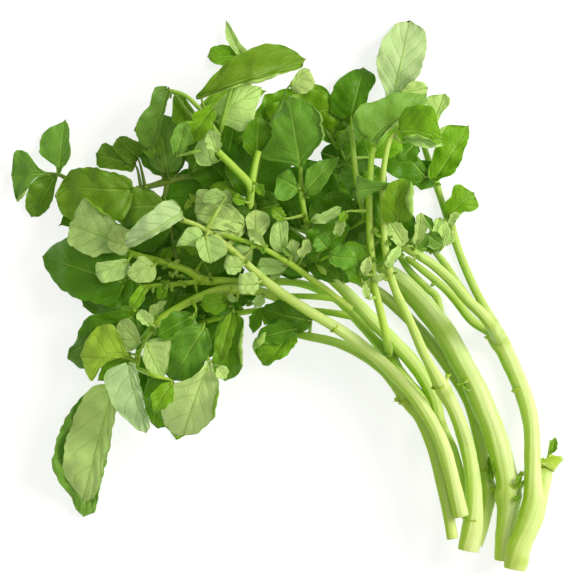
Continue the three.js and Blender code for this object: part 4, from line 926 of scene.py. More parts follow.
class WatercressLeafSettings(bpy.types.PropertyGroup):
    """Sizes and colours of the leaf blades."""

    dark: colour_prop("Dark leaf", "Upper face of an old leaf, deep in the bunch", DARK)
    middle: colour_prop("Mid-green leaf", "Upper face of a full-grown leaf in the light", MIDDLE)
    # Painted sheen: the grey cast of this colour stands for the shine of a glossy leaf.
    grey: colour_prop("Grey-green leaf", "Upper face of a leaf that shines", GREY)
    pale: colour_prop("Pale leaf", "Underside of a leaf that lies face down", PALE)
    olive: colour_prop("Olive leaf", "Upper face of an old leaf at the edge of the bunch", OLIVE)
    light: colour_prop("Light leaf", "Underside of a leaf that lies in the open", LIGHT)
    whitish: colour_prop("Whitish leaf", "Underside of a leaf with a bloom", WHITISH)
    # Painted sheen: the blue cast of this colour stands for the shine of a glossy leaf.
    bluish: colour_prop("Blue-green leaf", "Upper face of a glossy leaf in the middle", BLUISH)
    yellow: colour_prop("Yellow-green leaf", "Upper face of a young leaf", YELLOW)
    thickness: bpy.props.FloatProperty(
        name="Blade thickness", description="Thickness of a leaf blade", unit="LENGTH",
        default=0.36 * MM, min=0.1 * MM, max=0.9 * MM)
    ripple: bpy.props.FloatProperty(
        name="Margin ripple", description="How far the edge of a blade waves up and down",
        unit="LENGTH", default=0.85 * MM, min=0, max=2 * MM)
    swell: bpy.props.FloatProperty(
        name="Swell", description="Height of the broad soft bulges of a blade", unit="LENGTH",
        default=1.4 * MM, min=0, max=4 * MM)
    quilt: bpy.props.FloatProperty(
        name="Quilting", description="How far a blade bulges between its side veins",
        unit="LENGTH", default=0.75 * MM, min=0, max=2 * MM)
    scallop: bpy.props.FloatProperty(
        name="Margin scallop", description="Depth of the shallow lobes, as a share of half width",
        subtype="FACTOR", default=0.10, min=0, max=0.3)
    variation: bpy.props.FloatProperty(
        name="Colour variation", description="How much one leaf differs from the next",
        subtype="FACTOR", default=0.12, min=0, max=0.5)


class WatercressStemSettings(bpy.types.PropertyGroup):
    """Sizes of the ribbed stems."""

    ribs: bpy.props.IntProperty(
        name="Ribs", description="Number of low ridges round a stem", default=9, min=3, max=24)
    rib_depth: bpy.props.FloatProperty(
        name="Rib depth", description="Depth of the ridges, as a share of the stem's radius",
        subtype="FACTOR", default=0.03, min=0, max=0.2)
    joint_swell: bpy.props.FloatProperty(
        name="Joint swell", description="How much a stem thickens where a leaf stalk leaves it",
        subtype="FACTOR", default=0.05, min=0, max=0.5)
    bud_length: bpy.props.FloatProperty(
        name="Bud length", description="Length of the largest buds in the leaf axils",
        unit="LENGTH", default=3.4 * MM, min=0.5 * MM, max=8 * MM)
    bud_width: bpy.props.FloatProperty(
        name="Bud width", description="Width of a bud, as a share of its length",
        subtype="FACTOR", default=0.55, min=0.2, max=1)


class WatercressStageSettings(bpy.types.PropertyGroup):
    """The floor, the lights and the camera."""

    floor: colour_prop("Floor", "Colour of the floor", (160, 160, 160))
    glow: bpy.props.FloatProperty(
        name="Floor glow", description="How much the floor is lit from within, as a light table",
        default=0.74, min=0, max=2)
    sky: bpy.props.FloatProperty(
        name="Room light", description="Strength of the even light from all round",
        default=0.55, min=0, max=5)
    key: bpy.props.FloatProperty(
        name="Key light", description="Power of the large soft light at the upper right",
        unit="POWER", default=14.0, min=0)
    lens: bpy.props.FloatProperty(
        name="Lens", description="Focal length of the camera", unit="CAMERA", default=400.0,
        min=20)
    view_width: bpy.props.FloatProperty(
        name="View width", description="Width that the camera takes in at the bunch",
        unit="LENGTH", default=229.2 * MM, min=0.05)


# Shader and node helpers
class Nodes:
    """Adds nodes to a tree and links them, so that a material reads from top to bottom."""

    def __init__(self, tree):
        self.tree = tree

    def add(self, kind, settings=None, **inputs):
        """A new node, with its own settings and what its named inputs get."""
        node = self.tree.nodes.new(kind)
        for key, value in (settings or {}).items():
            setattr(node, key, value)
        for key, value in inputs.items():
            self.put(node.inputs[key.replace("_", " ")], value)
        return node

    def put(self, socket, value):
        """Links the value to the socket if it is a socket too, and otherwise sets it."""
        if isinstance(value, bpy.types.NodeSocket):
            self.tree.links.new(value, socket)
        else:
            socket.default_value = value

    def math(self, operation, *values):
        """The result of one operation on numbers."""
        node = self.add("ShaderNodeMath", {"operation": operation})
        for socket, value in zip(node.inputs, values):
            self.put(socket, value)
        return node.outputs[0]

    def plus(self, a, b):
        """The sum of two numbers."""
        return self.math("ADD", a, b)

    def minus(self, a, b):
        """The difference of two numbers."""
        return self.math("SUBTRACT", a, b)

    def times(self, a, b):
        """The product of two numbers."""
        return self.math("MULTIPLY", a, b)

    def vector(self, operation, *values, **inputs):
        """The node of one operation on vectors, because some of them give a number."""
        node = self.add("ShaderNodeVectorMath", {"operation": operation}, **inputs)
        for socket, value in zip(node.inputs, values):
            self.put(socket, value)
        return node

    def apart(self, vector):
        """The three numbers of a vector."""
        return self.add("ShaderNodeSeparateXYZ", Vector=vector).outputs

    def together(self, **numbers):
        """The vector of the numbers X, Y and Z."""
        return self.add("ShaderNodeCombineXYZ", **numbers).outputs[0]

    def mix(self, share, a, b, blend="MIX"):
        """A colour between a and b."""
        node = self.add("ShaderNodeMix", {"data_type": "RGBA", "blend_type": blend})
        for index, value in ((0, share), (6, a), (7, b)):
            self.put(node.inputs[index], value)
        return node.outputs[2]

    def span(self, value, low, high, to_low=0.0, to_high=1.0):
        """Goes smoothly from to_low to to_high while the value goes from low to high."""
        node = self.add("ShaderNodeMapRange", {"interpolation_type": "SMOOTHSTEP"})
        for index, item in enumerate((value, low, high, to_low, to_high)):
            self.put(node.inputs[index], item)
        return node.outputs[0]

    def attribute(self, name, output="Fac"):
        """An attribute of the surface, in a material."""
        return self.add("ShaderNodeAttribute", {"attribute_name": name}).outputs[output]

    def named(self, name, kind="FLOAT"):
        """An attribute of the points, in Geometry Nodes."""
        return self.add("GeometryNodeInputNamedAttribute", {"data_type": kind},
                        Name=name).outputs[0]

    def noise(self, place, scale, detail=2.0, roughness=0.5):
        """Soft noise from 0 to 1."""
        return self.add("ShaderNodeTexNoise", Vector=place, Scale=scale, Detail=detail,
                        Roughness=roughness).outputs["Fac"]

    def object_place(self):
        """The place on the object, in metres."""
        return self.add("ShaderNodeTexCoord").outputs["Object"]


def opaque(colour):
    """An sRGB colour of 0 to 255 as a colour socket takes it."""
    return (*linear(colour), 1.0)


def new_material(name, show):
    """An empty material, with a plain colour for the solid view, and its nodes."""
    material = bpy.data.materials.new(name)
    material.use_nodes = True
    material.diffuse_color = opaque(show)
    material.node_tree.nodes.clear()
    return material, Nodes(material.node_tree)


def finish_material(nodes, colour, roughness, bump_height, bump_distance, **constants):
    """Joins colour, roughness and relief to the surface; constants go on its own sockets."""
    bump = nodes.add("ShaderNodeBump", Strength=1.0, Distance=bump_distance, Height=bump_height)
    surface = nodes.add("ShaderNodeBsdfPrincipled")
    nodes.put(surface.inputs["Base Color"], colour)
    nodes.put(surface.inputs["Roughness"], roughness)
    nodes.put(surface.inputs["Normal"], bump.outputs[0])
    for key, value in constants.items():
        surface.inputs[key.replace("_", " ")].default_value = value
    output = nodes.add("ShaderNodeOutputMaterial")
    nodes.put(output.inputs["Surface"], surface.outputs[0])


def leaf_material():
    """Leaf blade: midrib, curved side veins, a fine net between them and soft mottling.

    The point attributes across and down are millimetres from the midrib and from the base,
    rank counts the side veins, and under is 1 on the underside.
    """
    material, n = new_material("Watercress blade", DARK)
    across, down = n.attribute("across"), n.attribute("down")
    rank, under = n.attribute("rank"), n.attribute("under")
    reach, tint = n.attribute("reach"), n.attribute("tint", "Color")
    plane = n.together(X=across, Y=down, Z=n.times(under, 7.0))
    wander = n.times(n.minus(n.noise(plane, 0.16, 2.0), 0.5), 0.55)
    midrib_width = n.plus(0.22, n.times(0.55, n.minus(1.0, reach)))
    midrib = n.span(n.math("DIVIDE", n.math("ABSOLUTE", across), midrib_width), 0.45, 1.25, 1.0, 0.0)
    fraction = n.math("FRACT", n.plus(rank, wander))
    vein = n.span(n.math("ABSOLUTE", n.minus(fraction, 0.5)), 0.425, 0.49)
    vein = n.times(vein, n.span(n.attribute("edge"), 0.55, 1.0, 1.0, 0.25))
    net = n.add("ShaderNodeTexVoronoi", {"feature": "DISTANCE_TO_EDGE"},
                Vector=plane, Scale=0.42, Randomness=1.0).outputs["Distance"]
    net = n.span(net, 0.02, 0.12, 1.0, 0.0)
    place = n.object_place()
    broad = n.noise(place, 130.0, 3.0)
    fine = n.noise(place, 420.0, 4.0, 0.6)
    veins = n.math("MAXIMUM", n.times(midrib, 0.9), n.times(vein, 0.55))
    veins = n.math("MAXIMUM", veins, n.times(net, 0.10))
    lighter = n.mix(0.75, tint, opaque((160, 200, 78)))
    strength = n.times(veins, n.plus(0.5, n.times(under, 0.25)))
    shaded = n.mix(n.span(broad, 0.35, 0.68, 0.0, 0.16), tint,
                   n.mix(1.0, tint, (0.62, 0.74, 0.5, 1.0), "MULTIPLY"))
    lit = n.mix(n.span(fine, 0.45, 0.75, 0.0, 0.25), shaded,
                n.mix(1.0, shaded, (1.35, 1.22, 1.25, 1.0), "MULTIPLY"))
    rim = n.span(n.attribute("edge"), 0.93, 1.0, 0.0, 0.35)
    colour = n.mix(rim, n.mix(strength, lit, lighter), lighter)
    gloss = n.plus(0.42, n.times(under, 0.2))
    roughness = n.plus(gloss, n.times(n.minus(broad, 0.5), 0.22))
    side = n.minus(n.times(under, 2.0), 1.0)
    relief = n.times(side, n.plus(n.times(veins, 0.85), n.times(net, 0.05)))
    relief = n.plus(relief, n.plus(n.times(broad, 0.7), n.times(fine, 0.28)))
    finish_material(n, colour, roughness, relief, 0.00042, Subsurface_Weight=0.12,
                    Subsurface_Radius=(0.5, 1.0, 0.25), Subsurface_Scale=0.0012,
                    IOR=1.42, Specular_IOR_Level=0.3)
    return material


def stem_material():
    """Stem: lengthwise streaks and fine ridges, with greener bands at the joints, a painted highlight
    on the side facing the key light and painted shade on the other.
    """
    material, n = new_material("Watercress stem", (190, 215, 110))
    tint, round_it = n.attribute("tint", "Color"), n.attribute("round_it", "Vector")
    along, joint = n.attribute("along"), n.attribute("joint")
    skin_place = n.vector("ADD", n.vector("SCALE", round_it, Scale=3.2).outputs[0],
                          n.together(Z=along)).outputs[0]
    long_streak = n.add("ShaderNodeMapping", Vector=skin_place, Scale=(1.0, 1.0, 22.0))
    streak = n.noise(long_streak.outputs[0], 1.0, 4.0, 0.62)
    hair = n.add("ShaderNodeMapping", Vector=skin_place, Scale=(3.4, 3.4, 30.0))
    hair_line = n.noise(hair.outputs[0], 1.0, 2.0)
    place = n.object_place()
    speck = n.noise(place, 900.0, 3.0)
    cloud = n.noise(place, 45.0, 2.0)
    # How far each point of the skin faces the key light, for the painted light and shade below.
    normal = n.add("ShaderNodeNewGeometry").outputs["Normal"]
    facing = n.vector("DOT_PRODUCT", normal, (0.86, 0.12, 0.5))
    painted_lit_side = n.span(facing.outputs["Value"], -0.35, 0.95)
    thick = n.span(n.attribute("radius_m"), 0.0012, 0.0034, 0.2, 0.75)
    # Dark and pale versions of the skin colour, used for its streaks and also for the painted light and
    # shade.
    dark = n.mix(1.0, tint, (0.5, 0.74, 0.06, 1.0), "MULTIPLY")
    pale = n.mix(0.6, tint, opaque((238, 246, 206)))
    colour = n.mix(n.span(streak, 0.34, 0.54, 0.45, 1.0), dark, tint)
    colour = n.mix(n.span(streak, 0.54, 0.74, 0.0, 0.5), colour, pale)
    # Painted shade: the side turned away from the key light is mixed darker.
    colour = n.mix(n.minus(1.0, painted_lit_side), colour, n.mix(0.8, colour, dark))
    # Painted highlight: the side that faces the key light is mixed paler, more so on thick stems.
    colour = n.mix(n.times(painted_lit_side, thick), colour, pale)
    colour = n.mix(n.span(hair_line, 0.4, 0.62, 0.3, 0.0), colour, dark)
    colour = n.mix(n.span(cloud, 0.45, 0.7, 0.0, 0.25), colour, dark)
    green = n.mix(0.6, tint, opaque((136, 178, 30)))
    colour = n.mix(n.times(joint, 0.75), colour, green)
    relief = n.plus(n.times(streak, 0.9), n.times(hair_line, 0.5))
    relief = n.plus(relief, n.times(speck, 0.12))
    roughness = n.plus(0.32, n.times(n.minus(streak, 0.5), 0.2))
    finish_material(n, colour, roughness, relief, 0.00035, Subsurface_Weight=0.25,
                    Subsurface_Radius=(1.0, 1.3, 0.25), Subsurface_Scale=0.003, IOR=1.4,
                    Specular_IOR_Level=0.32)
    return material


# Meshes from arrays
def new_piece(plant, label, points, edges, faces, attributes):
    """A piece of a leafy stem from millimetre points of the plan, with its point attributes."""
    points = np.array(points, float)
    points[:, :2] += PLAN_TO_FRAME
    mesh = bpy.data.meshes.new(f"{plant.name}_{label}")
    mesh.from_pydata((points * MM).tolist(), edges, faces)
    for key, values in attributes.items():
        store(mesh, key, values)
    piece = bpy.data.objects.new(mesh.name, mesh)
    bpy.context.scene.collection.objects.link(piece)
    return piece


def smooth_piece(plant, label, points, faces, attributes, material):
    """A finished piece: smooth faces, one material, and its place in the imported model."""
    piece = new_piece(plant, label, points, [], faces, attributes)
    mesh = piece.data
    mesh.polygons.foreach_set("use_smooth", np.ones(len(mesh.polygons), bool))
    mesh.materials.append(material)
    mesh.validate()
    mesh.update()
    claim(piece, plant.name)


def store(mesh, key, values):
    """Puts numbers, vectors or colours on the mesh's points."""
    values = np.asarray(values, float)
    if values.ndim == 1:
        layer = mesh.attributes.new(key, "FLOAT", "POINT")
        layer.data.foreach_set("value", values)
    elif key == "tint":
        layer = mesh.attributes.new(key, "FLOAT_COLOR", "POINT")
        layer.data.foreach_set("color", np.column_stack([values, np.ones(len(values))]).ravel())
    else:
        layer = mesh.attributes.new(key, "FLOAT_VECTOR", "POINT")
        layer.data.foreach_set("vector", values.ravel())


def claim(piece, plant_name):
    """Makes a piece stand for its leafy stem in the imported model."""
    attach(piece, "root")
    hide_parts(plant_name)


# Leaf blades
def blade_colours(blade, settings):
    """Upper and lower face colours of one blade, a little different from the next one's."""
    up = np.array(getattr(settings, LOOKS[blade.look])[:])
    if blade.look in FACE_DOWN:
        down = np.array(settings.middle[:])
    else:
        down = 0.5 * up + 0.5 * np.array(settings.pale[:])
    change = 1 + settings.variation * (2 * draw(blade.number, 11) - 1)
    warm = 1 + settings.variation * (draw(blade.number, 12) - 0.5)
    return up * change * (warm, 1, 1), down * change


def blade_grid(blade):
    """The grid of a blade: t from base to tip, s from right to left, and how far the lip curls.

    s stays at 1 or -1 over the few outermost columns, where the margin curls over.
    """
    rows = max(LEAST_ROWS, int(blade.length / ROW_SPACING))
    columns = max(LEAST_COLUMNS, 2 * int(blade.width / 2 / COLUMN_SPACING) + 1)
    lip = np.linspace(0, 1, LIP_COLUMNS + 1)[1:]
    t = np.linspace(0, 1, rows)
    t -= 0.08 * np.sin(2 * np.pi * t)
    core = np.sin(0.5 * np.pi * np.linspace(-1, 1, columns))
    s = np.concatenate([-np.ones(LIP_COLUMNS), core, np.ones(LIP_COLUMNS)])
    curl = np.concatenate([lip[::-1], np.zeros(columns), lip])
    return (np.broadcast_to(values, (rows, len(s))).copy()
            for values in (t[:, None], s[None, :], curl[None, :]))


def blade_surface(blade, settings):
    """The blade's middle surface over its grid, with each point's distance from the midrib."""
    t, s, curl = blade_grid(blade)
    left, right = edge_reach(blade, t[:, 0], 1, settings), edge_reach(blade, t[:, 0], 0, settings)
    whole = np.maximum(left + right, 0.3)
    rib = np.clip(0, -right + 0.2 * whole, left - 0.2 * whole)
    half = np.where(s > 0, (left - rib)[:, None], (right + rib)[:, None])
    half = np.maximum(half, 0.08)
    out = np.abs(s)
    wide, turn, way = lip_sizes(blade, t, s, half)
    angle = curl * turn
    reach = (half - wide) * out + wide * np.sin(angle)
    across = np.sign(s) * reach
    sideways = rib[:, None] + across
    ends = np.clip(1 - t, 0, 1) ** 5
    tips = np.clip(t, 0, 1) ** 8
    place = t - 0.07 * draw(blade.number, 8) * out ** 1.5 * ends - 0.03 * out ** 2 * tips
    bend = blade.bend * np.sin(np.pi * place) if blade.margin else 0
    x, y = blade.plan(place, sideways - bend)
    solid_half = 0.5 * blade.width * half_width_share(t, blade.taper, LEAST_SHARE)
    ratio = np.clip(reach / solid_half, 0, 1.5)
    lefts, middle, rights = (pass_through(blade.stations, blade.rows[:, k, 2], t[:, 0])[:, None]
                             for k in range(3))
    edge = np.where(s > 0, lefts, rights)
    z = middle + (edge - middle) * (0.45 * ratio + 0.55 * ratio ** 1.6)
    z = z - 0.4 * np.exp(-(across / 0.8) ** 2) * (1 - 0.7 * t)
    z = z + swell(blade, t * blade.length, sideways, settings)
    phase = draw(blade.number, 6) + 0.37 * np.sign(s)
    full_size = min(1, blade.width / 14)
    ripple = settings.ripple / MM * full_size
    waves = 2 + blade.length / 14
    z = z + ripple * out ** 3 * np.sin(2 * np.pi * (waves * t + phase)) * np.sin(np.pi * t)
    quilt = np.cos(2 * np.pi * vein_rank(blade, t, out)) * out * (1 - out ** 2)
    z = z + settings.quilt / MM * full_size * quilt
    z = z + way * 0.75 * wide * (1 - np.cos(angle))
    return t, s, curl, across, np.stack([x, y, z], axis=-1)


def lip_sizes(blade, t, s, half):
    """How wide the curled lip of the margin is, how far it turns, and whether up or down."""
    wide, turn, way = np.zeros_like(t), np.zeros_like(t), np.ones_like(t)
    for side in (0, 1):
        here = (s > 0) == (side == 1)
        drawn = draw(blade.number, 14 + side)
        change = 0.5 + 0.5 * np.sin(2 * np.pi * ((1.2 + drawn) * t + 3.7 * drawn))
        small = 0.22 + 0.5 * drawn * change
        turned = np.radians(50 + 60 * change)
        for rolled, start, stop, width in blade.rolls:
            if rolled == side:
                share = np.clip((t - start) / (stop - start), 0, 1)
                hill = np.sin(np.pi * share) ** 0.6
                small = small * (1 - hill) + width * hill
                turned = turned * (1 - hill) + np.radians(205) * hill
                drawn = np.where(share > 0, 1.0, drawn)
        wide = np.where(here, small, wide)
        turn = np.where(here, turned, turn)
        way = np.where(here, np.where(drawn > 0.45, 1.0, -0.6), way)
    return np.minimum(wide, 0.35 * np.maximum(half, 0.2)), turn, way


def swell(blade, along, across, settings):
    """Broad soft bulges of a blade, in mm, from a few crossed waves."""
    small = min(1.0, blade.width / 18)
    size = settings.swell / MM * (0.45 + 0.55 * small) * (0.6 if blade.look in FACE_DOWN else 1.0)
    length = 6.5 + 10.0 * small
    height = 0
    for k, (share, stretch) in enumerate(((0.75, 1.0), (0.25, 0.55))):
        a, b = draw(blade.number, 40 + k), draw(blade.number, 44 + k)
        turn = math.pi * draw(blade.number, 48 + k)
        u = (along * math.cos(turn) + across * math.sin(turn)) / (length * stretch)
        v = (across * math.cos(turn) - along * math.sin(turn)) / (length * stretch * 0.8)
        height = height + share * np.sin(2 * np.pi * (u + a)) * np.cos(2 * np.pi * (v + b))
    return size * height * (1 - np.exp(-along / 4.0))


def edge_reach(blade, t, left, settings):
    """How far the blade reaches to one side at each t, with the small lobes of its margin."""
    knots = 6 + int(3 * draw(blade.number, 20 + left))
    places = np.arange(knots + 1) / knots
    places[1:-1] += [0.35 / knots * (2 * draw(blade.number, 30 + left + 2 * k) - 1)
                     for k in range(1, knots)]
    change = [settings.scallop * (2 * draw(blade.number, 60 + left + 2 * k) - 1)
              for k in range(knots + 1)]
    lobes = 2.5 + 2 * draw(blade.number, 22 + left)
    notch = np.abs(np.sin(np.pi * (lobes * t + draw(blade.number, 24 + left))))
    from_end = np.minimum(t, 1 - t) * blade.length / 1.4
    rounded = np.sqrt(1 - (1 - np.clip(from_end, 0, 1)) ** 2)
    if blade.margin:
        known = np.array(blade.margin)
        reach = pass_through(known[:, 0], known[:, 2 - left], t)
        across = reach + pass_through(known[:, 0], known[:, 1 + left], t)
        fine = np.abs(np.sin(np.pi * (2.7 * lobes * t + draw(blade.number, 26 + left))))
        nick = (0.5 * np.interp(t, places, change)
                + settings.scallop * (0.5 * (notch - 0.6) + 0.55 * (fine - 0.6)))
        return reach + 0.5 * across * nick - 0.5 * across * (1 - rounded) * 0.8
    rough = 3.0 if blade.look == "T" else 2.6 if blade.width < 12 else 1.5
    share = half_width_share(t, blade.taper, 0.02)
    reach = 0.5 * blade.width * share ** (ROUNDNESS * blade.pointed)
    return reach * np.maximum(0.15, 1 + rough * np.interp(t, places, change)
                              + 0.7 * rough * settings.scallop * (notch - 0.6))


def vein_rank(blade, t, out):
    """Counts the side veins: they leave the midrib at a slant and bend towards the tip."""
    count = 4 + int(2 * draw(blade.number, 9)) if blade.length > 14 else 3
    return count * (t - 0.30 * out ** 0.9 - 0.08 * out ** 3)


def grid_normals(points):
    """Unit normals of a grid of points, on the side of its upper face."""
    along = np.gradient(points, axis=0)
    across = np.gradient(points, axis=1)
    normal = np.cross(along, across)
    return normal / np.maximum(np.linalg.norm(normal, axis=-1, keepdims=True), 1e-9)


def sheet_faces(rows, columns, first):
    """Faces of the upper sheet, the lower sheet and the rim that joins them."""
    count = rows * columns
    faces = []
    for i in range(rows - 1):
        for k in range(columns - 1):
            a = first + i * columns + k
            b = a + columns
            faces.append((a, b, b + 1, a + 1))
            faces.append((a + count, a + 1 + count, b + 1 + count, b + count))
    loop = ([first + k for k in range(columns)]
            + [first + i * columns + columns - 1 for i in range(1, rows)]
            + [first + (rows - 1) * columns + k for k in range(columns - 2, -1, -1)]
            + [first + i * columns for i in range(rows - 2, 0, -1)])
    for a, b in zip(loop, loop[1:] + loop[:1]):
        faces.append((a, b, b + count, a + count))
    return faces


def build_blades(plant, settings, material):
    """One piece: all the blades of a leafy stem, each a closed sheet with two faces."""
    points, faces = [], []
    layers = {key: [] for key in ("tint", "across", "down", "rank", "reach", "edge", "under")}
    first = 0
    for blade in plant.blades:
        t, s, curl, across, surface = blade_surface(blade, settings)
        up, down = blade_colours(blade, settings)
        thin = 1 - 0.5 * np.abs(s) ** 4
        offset = grid_normals(surface) * (0.5 * settings.thickness / MM * thin)[..., None]
        flat = t.size
        for sign, colour in ((1, up), (-1, down)):
            sheet = surface + sign * offset
            sheet[..., 2] = np.maximum(sheet[..., 2], LOWEST_TOP if sign > 0 else LOWEST)
            points.append(sheet.reshape(-1, 3))
            layers["tint"].append(np.tile(colour, (flat, 1)))
            layers["across"].append(across.ravel())
            layers["down"].append((t * blade.length).ravel() + 40 * draw(blade.number, 10))
            layers["rank"].append(vein_rank(blade, t, np.abs(s)).ravel() + 0.5)
            layers["reach"].append(t.ravel())
            edge = np.maximum(np.abs(s) * (0.9 + 0.1 * curl), np.abs(2 * t - 1) ** 5)
            layers["edge"].append(edge.ravel())
            facing_down = (sign < 0) != (blade.look in FACE_DOWN)
            layers["under"].append(np.full(flat, float(facing_down)))
        faces += sheet_faces(*t.shape, first)
        first += 2 * flat
    attributes = {key: np.concatenate(values) for key, values in layers.items()}
    smooth_piece(plant, "leaves", np.concatenate(points), faces, attributes, material)


# Stems
def joint_strength(points, joints):
    """How near each point is to a joint, from 0 to 1."""
    strength = np.zeros(len(points))
    for joint in joints:
        apart = np.hypot(points[:, 0] - joint[0], points[:, 1] - joint[1])
        spread = 1.0 + 0.35 * joint[3]
        strength = np.maximum(strength, np.exp(-(apart / spread) ** 2))
    return strength


def stem_lines(plant, settings):
    """The stem, its branches and leaf stalks as lines of points with what each point needs."""
    base, tip = (linear(colour) for colour in STEM_COLOURS[plant.name])
    main = distances(plant.fine[0])[-1]
    lines = []
    for index, route in enumerate(plant.fine):
        along = distances(route)
        share = along / main if index == 0 else np.clip(
            nearest_share(plant, route[0]) + along / main, 0, 1)
        tint = base + (tip - base) * (share ** 0.8)[:, None]
        joint = joint_strength(route, plant.joints)
        radius = route[:, 3] * (1 + settings.joint_swell * joint)
        radius *= 1 + 0.02 * np.sin(0.31 * along + index) + 0.012 * np.sin(0.83 * along)
        end = (along[-1] - along) / (1.6 * route[-1, 3])
        radius *= np.sqrt(1 - np.clip(1 - end, 0, 0.93) ** 2)
        lines.append((route[:, :3], radius, tint, along, joint))
    for number, stalk in enumerate(plant.stalks):
        if stalk is None:
            continue
        along = distances(stalk)
        wanted = np.linspace(0, along[-1], max(4, int(along[-1] / FINE_SPACING) + 1))
        fine = np.column_stack([pass_through(along, stalk[:, k], wanted) for k in range(4)])
        share = nearest_share(plant, stalk[0])
        tint = base + (tip - base) * share ** 0.8
        blade = plant.blades[number]
        green = linear(MIDDLE if blade.look in FACE_DOWN + "YM" else DARK)
        tint = tint + (0.5 * (tint + green) - tint) * (wanted / wanted[-1])[:, None]
        lines.append((fine[:, :3], fine[:, 3], tint, wanted + 17 * number, 0 * wanted))
    return lines


def nearest_share(plant, point):
    """How far along the main stem, from 0 to 1, the nearest point of it is."""
    route = plant.fine[0]
    apart = np.hypot(route[:, 0] - point[0], route[:, 1] - point[1])
    return np.argmin(apart) / (len(route) - 1)


def new_tree(name, inputs, output):
    """A Geometry Nodes tree with named inputs: the tree, its nodes and what it is given."""
    tree = bpy.data.node_groups.new(name, "GeometryNodeTree")
    for label, kind in inputs.items():
        tree.interface.new_socket(label, in_out="INPUT", socket_type=f"NodeSocket{kind}")
    tree.interface.new_socket(output, in_out="OUTPUT", socket_type="NodeSocketGeometry")
    nodes = Nodes(tree)
    return tree, nodes, nodes.add("NodeGroupInput").outputs


def stem_tree():
    """Node tree that turns lines of points into ribbed stems that rest on the floor."""
    tree, n, given = new_tree("Ribbed stems", {
        "Lines": "Geometry", "Ribs": "Int", "Rib depth": "Float", "Sides": "Int",
        "Material": "Material"}, "Stems")
    circle = n.add("GeometryNodeCurvePrimitiveCircle", Resolution=given["Sides"], Radius=1.0)
    factor = n.add("GeometryNodeSplineParameter").outputs["Factor"]
    angle = n.times(factor, 2 * math.pi)
    wave = n.math("COSINE", n.times(angle, given["Ribs"]))
    low = n.times(n.minus(wave, 1.0), given["Rib depth"])
    place = n.add("GeometryNodeInputPosition").outputs[0]
    scaled = n.vector("SCALE", place, Scale=n.plus(low, 1.0))
    ribbed = n.add("GeometryNodeSetPosition", Geometry=circle.outputs[0],
                   Position=scaled.outputs[0])
    marked = n.add("GeometryNodeStoreNamedAttribute",
                   {"data_type": "FLOAT_VECTOR", "domain": "POINT"},
                   Geometry=ribbed.outputs[0], Name="round_it", Value=place)
    curve = n.add("GeometryNodeMeshToCurve", Mesh=given["Lines"])
    tilted = n.add("GeometryNodeSetCurveTilt", Curve=curve.outputs[0], Tilt=n.named("twist"))
    tubes = n.add("GeometryNodeCurveToMesh", Curve=tilted.outputs[0], Fill_Caps=True,
                  Scale=n.named("radius_m"), Profile_Curve=marked.outputs[0])
    x, y, z = n.apart(n.add("GeometryNodeInputPosition").outputs[0])
    lifted = n.together(X=x, Y=y, Z=n.math("MAXIMUM", z, 0.02 * MM))
    resting = n.add("GeometryNodeSetPosition", Geometry=tubes.outputs[0], Position=lifted)
    real = n.add("GeometryNodeRealizeInstances", Geometry=resting.outputs[0])
    dressed = n.add("GeometryNodeSetMaterial", Geometry=real.outputs[0],
                    Material=given["Material"])
    n.add("NodeGroupOutput", Stems=dressed.outputs[0])
    return tree


def apply_tree(piece, tree, values):
    """Runs a node tree on a piece and keeps the result as a plain mesh."""
    modifier = piece.modifiers.new(tree.name, "NODES")
    modifier.node_group = tree
    for item in tree.interface.items_tree:
        if item.in_out == "INPUT" and item.name in values:
            modifier[item.identifier] = values[item.name]
    graph = bpy.context.evaluated_depsgraph_get()
    mesh = bpy.data.meshes.new_from_object(
        piece.evaluated_get(graph), preserve_all_data_layers=True, depsgraph=graph)
    if not mesh.polygons:
        raise RuntimeError(f"{piece.name} came out of {tree.name} with no faces")
    piece.modifiers.clear()
    old, piece.data = piece.data, mesh
    bpy.data.meshes.remove(old)
    mesh.name = piece.name


def build_stems(plant, settings, material, tree):
    """One piece: the leafy stem's own stem, branches and leaf stalks."""
    points, edges = [], []
    layers = {key: [] for key in ("radius_m", "tint", "along", "joint", "twist")}
    for line, radius, tint, along, joint in stem_lines(plant, settings):
        first = sum(len(p) for p in points)
        points.append(line)
        edges += [(first + i, first + i + 1) for i in range(len(line) - 1)]
        layers["radius_m"].append(radius * MM)
        layers["tint"].append(tint)
        layers["along"].append(along * MM)
        layers["joint"].append(joint)
        layers["twist"].append(0.006 * along + 0.7 * np.sin(0.02 * along))
    attributes = {key: np.concatenate(values) for key, values in layers.items()}
    piece = new_piece(plant, "stems", np.concatenate(points), edges, [], attributes)
    apply_tree(piece, tree, {"Ribs": settings.ribs, "Rib depth": settings.rib_depth,
                             "Sides": STEM_SIDES, "Material": material})
    claim(piece, plant.name)


# Cut ends, torn sheaths and axil buds
def frame_at(route, index, forward):
    """The place, direction and two side directions of a route at one of its points."""
    after, before = min(index + 1, len(route) - 1), max(index - 1, 0)
    along = route[after, :3] - route[before, :3]
    along = along / np.linalg.norm(along) * forward
    side = np.array([-along[1], along[0], 0.0])
    side /= np.linalg.norm(side)
    return route[index, :3], along, side, np.cross(along, side)


def closed_band(rows, columns, first):
    """Faces of a ring-shaped band between an outer and an inner grid (along by around)."""
    count = rows * columns
    faces = []
    for k in range(columns):
        after = (k + 1) % columns
        for i in range(rows - 1):
            a, b = first + i * columns + k, first + i * columns + after
            c, d = a + columns, b + columns
            faces.append((a, b, d, c))
            faces.append((a + count, c + count, d + count, b + count))
        low, high = first, first + (rows - 1) * columns
        faces.append((low + k, low + count + k, low + count + after, low + after))
        faces.append((high + k, high + after, high + count + after, high + count + k))
    return faces


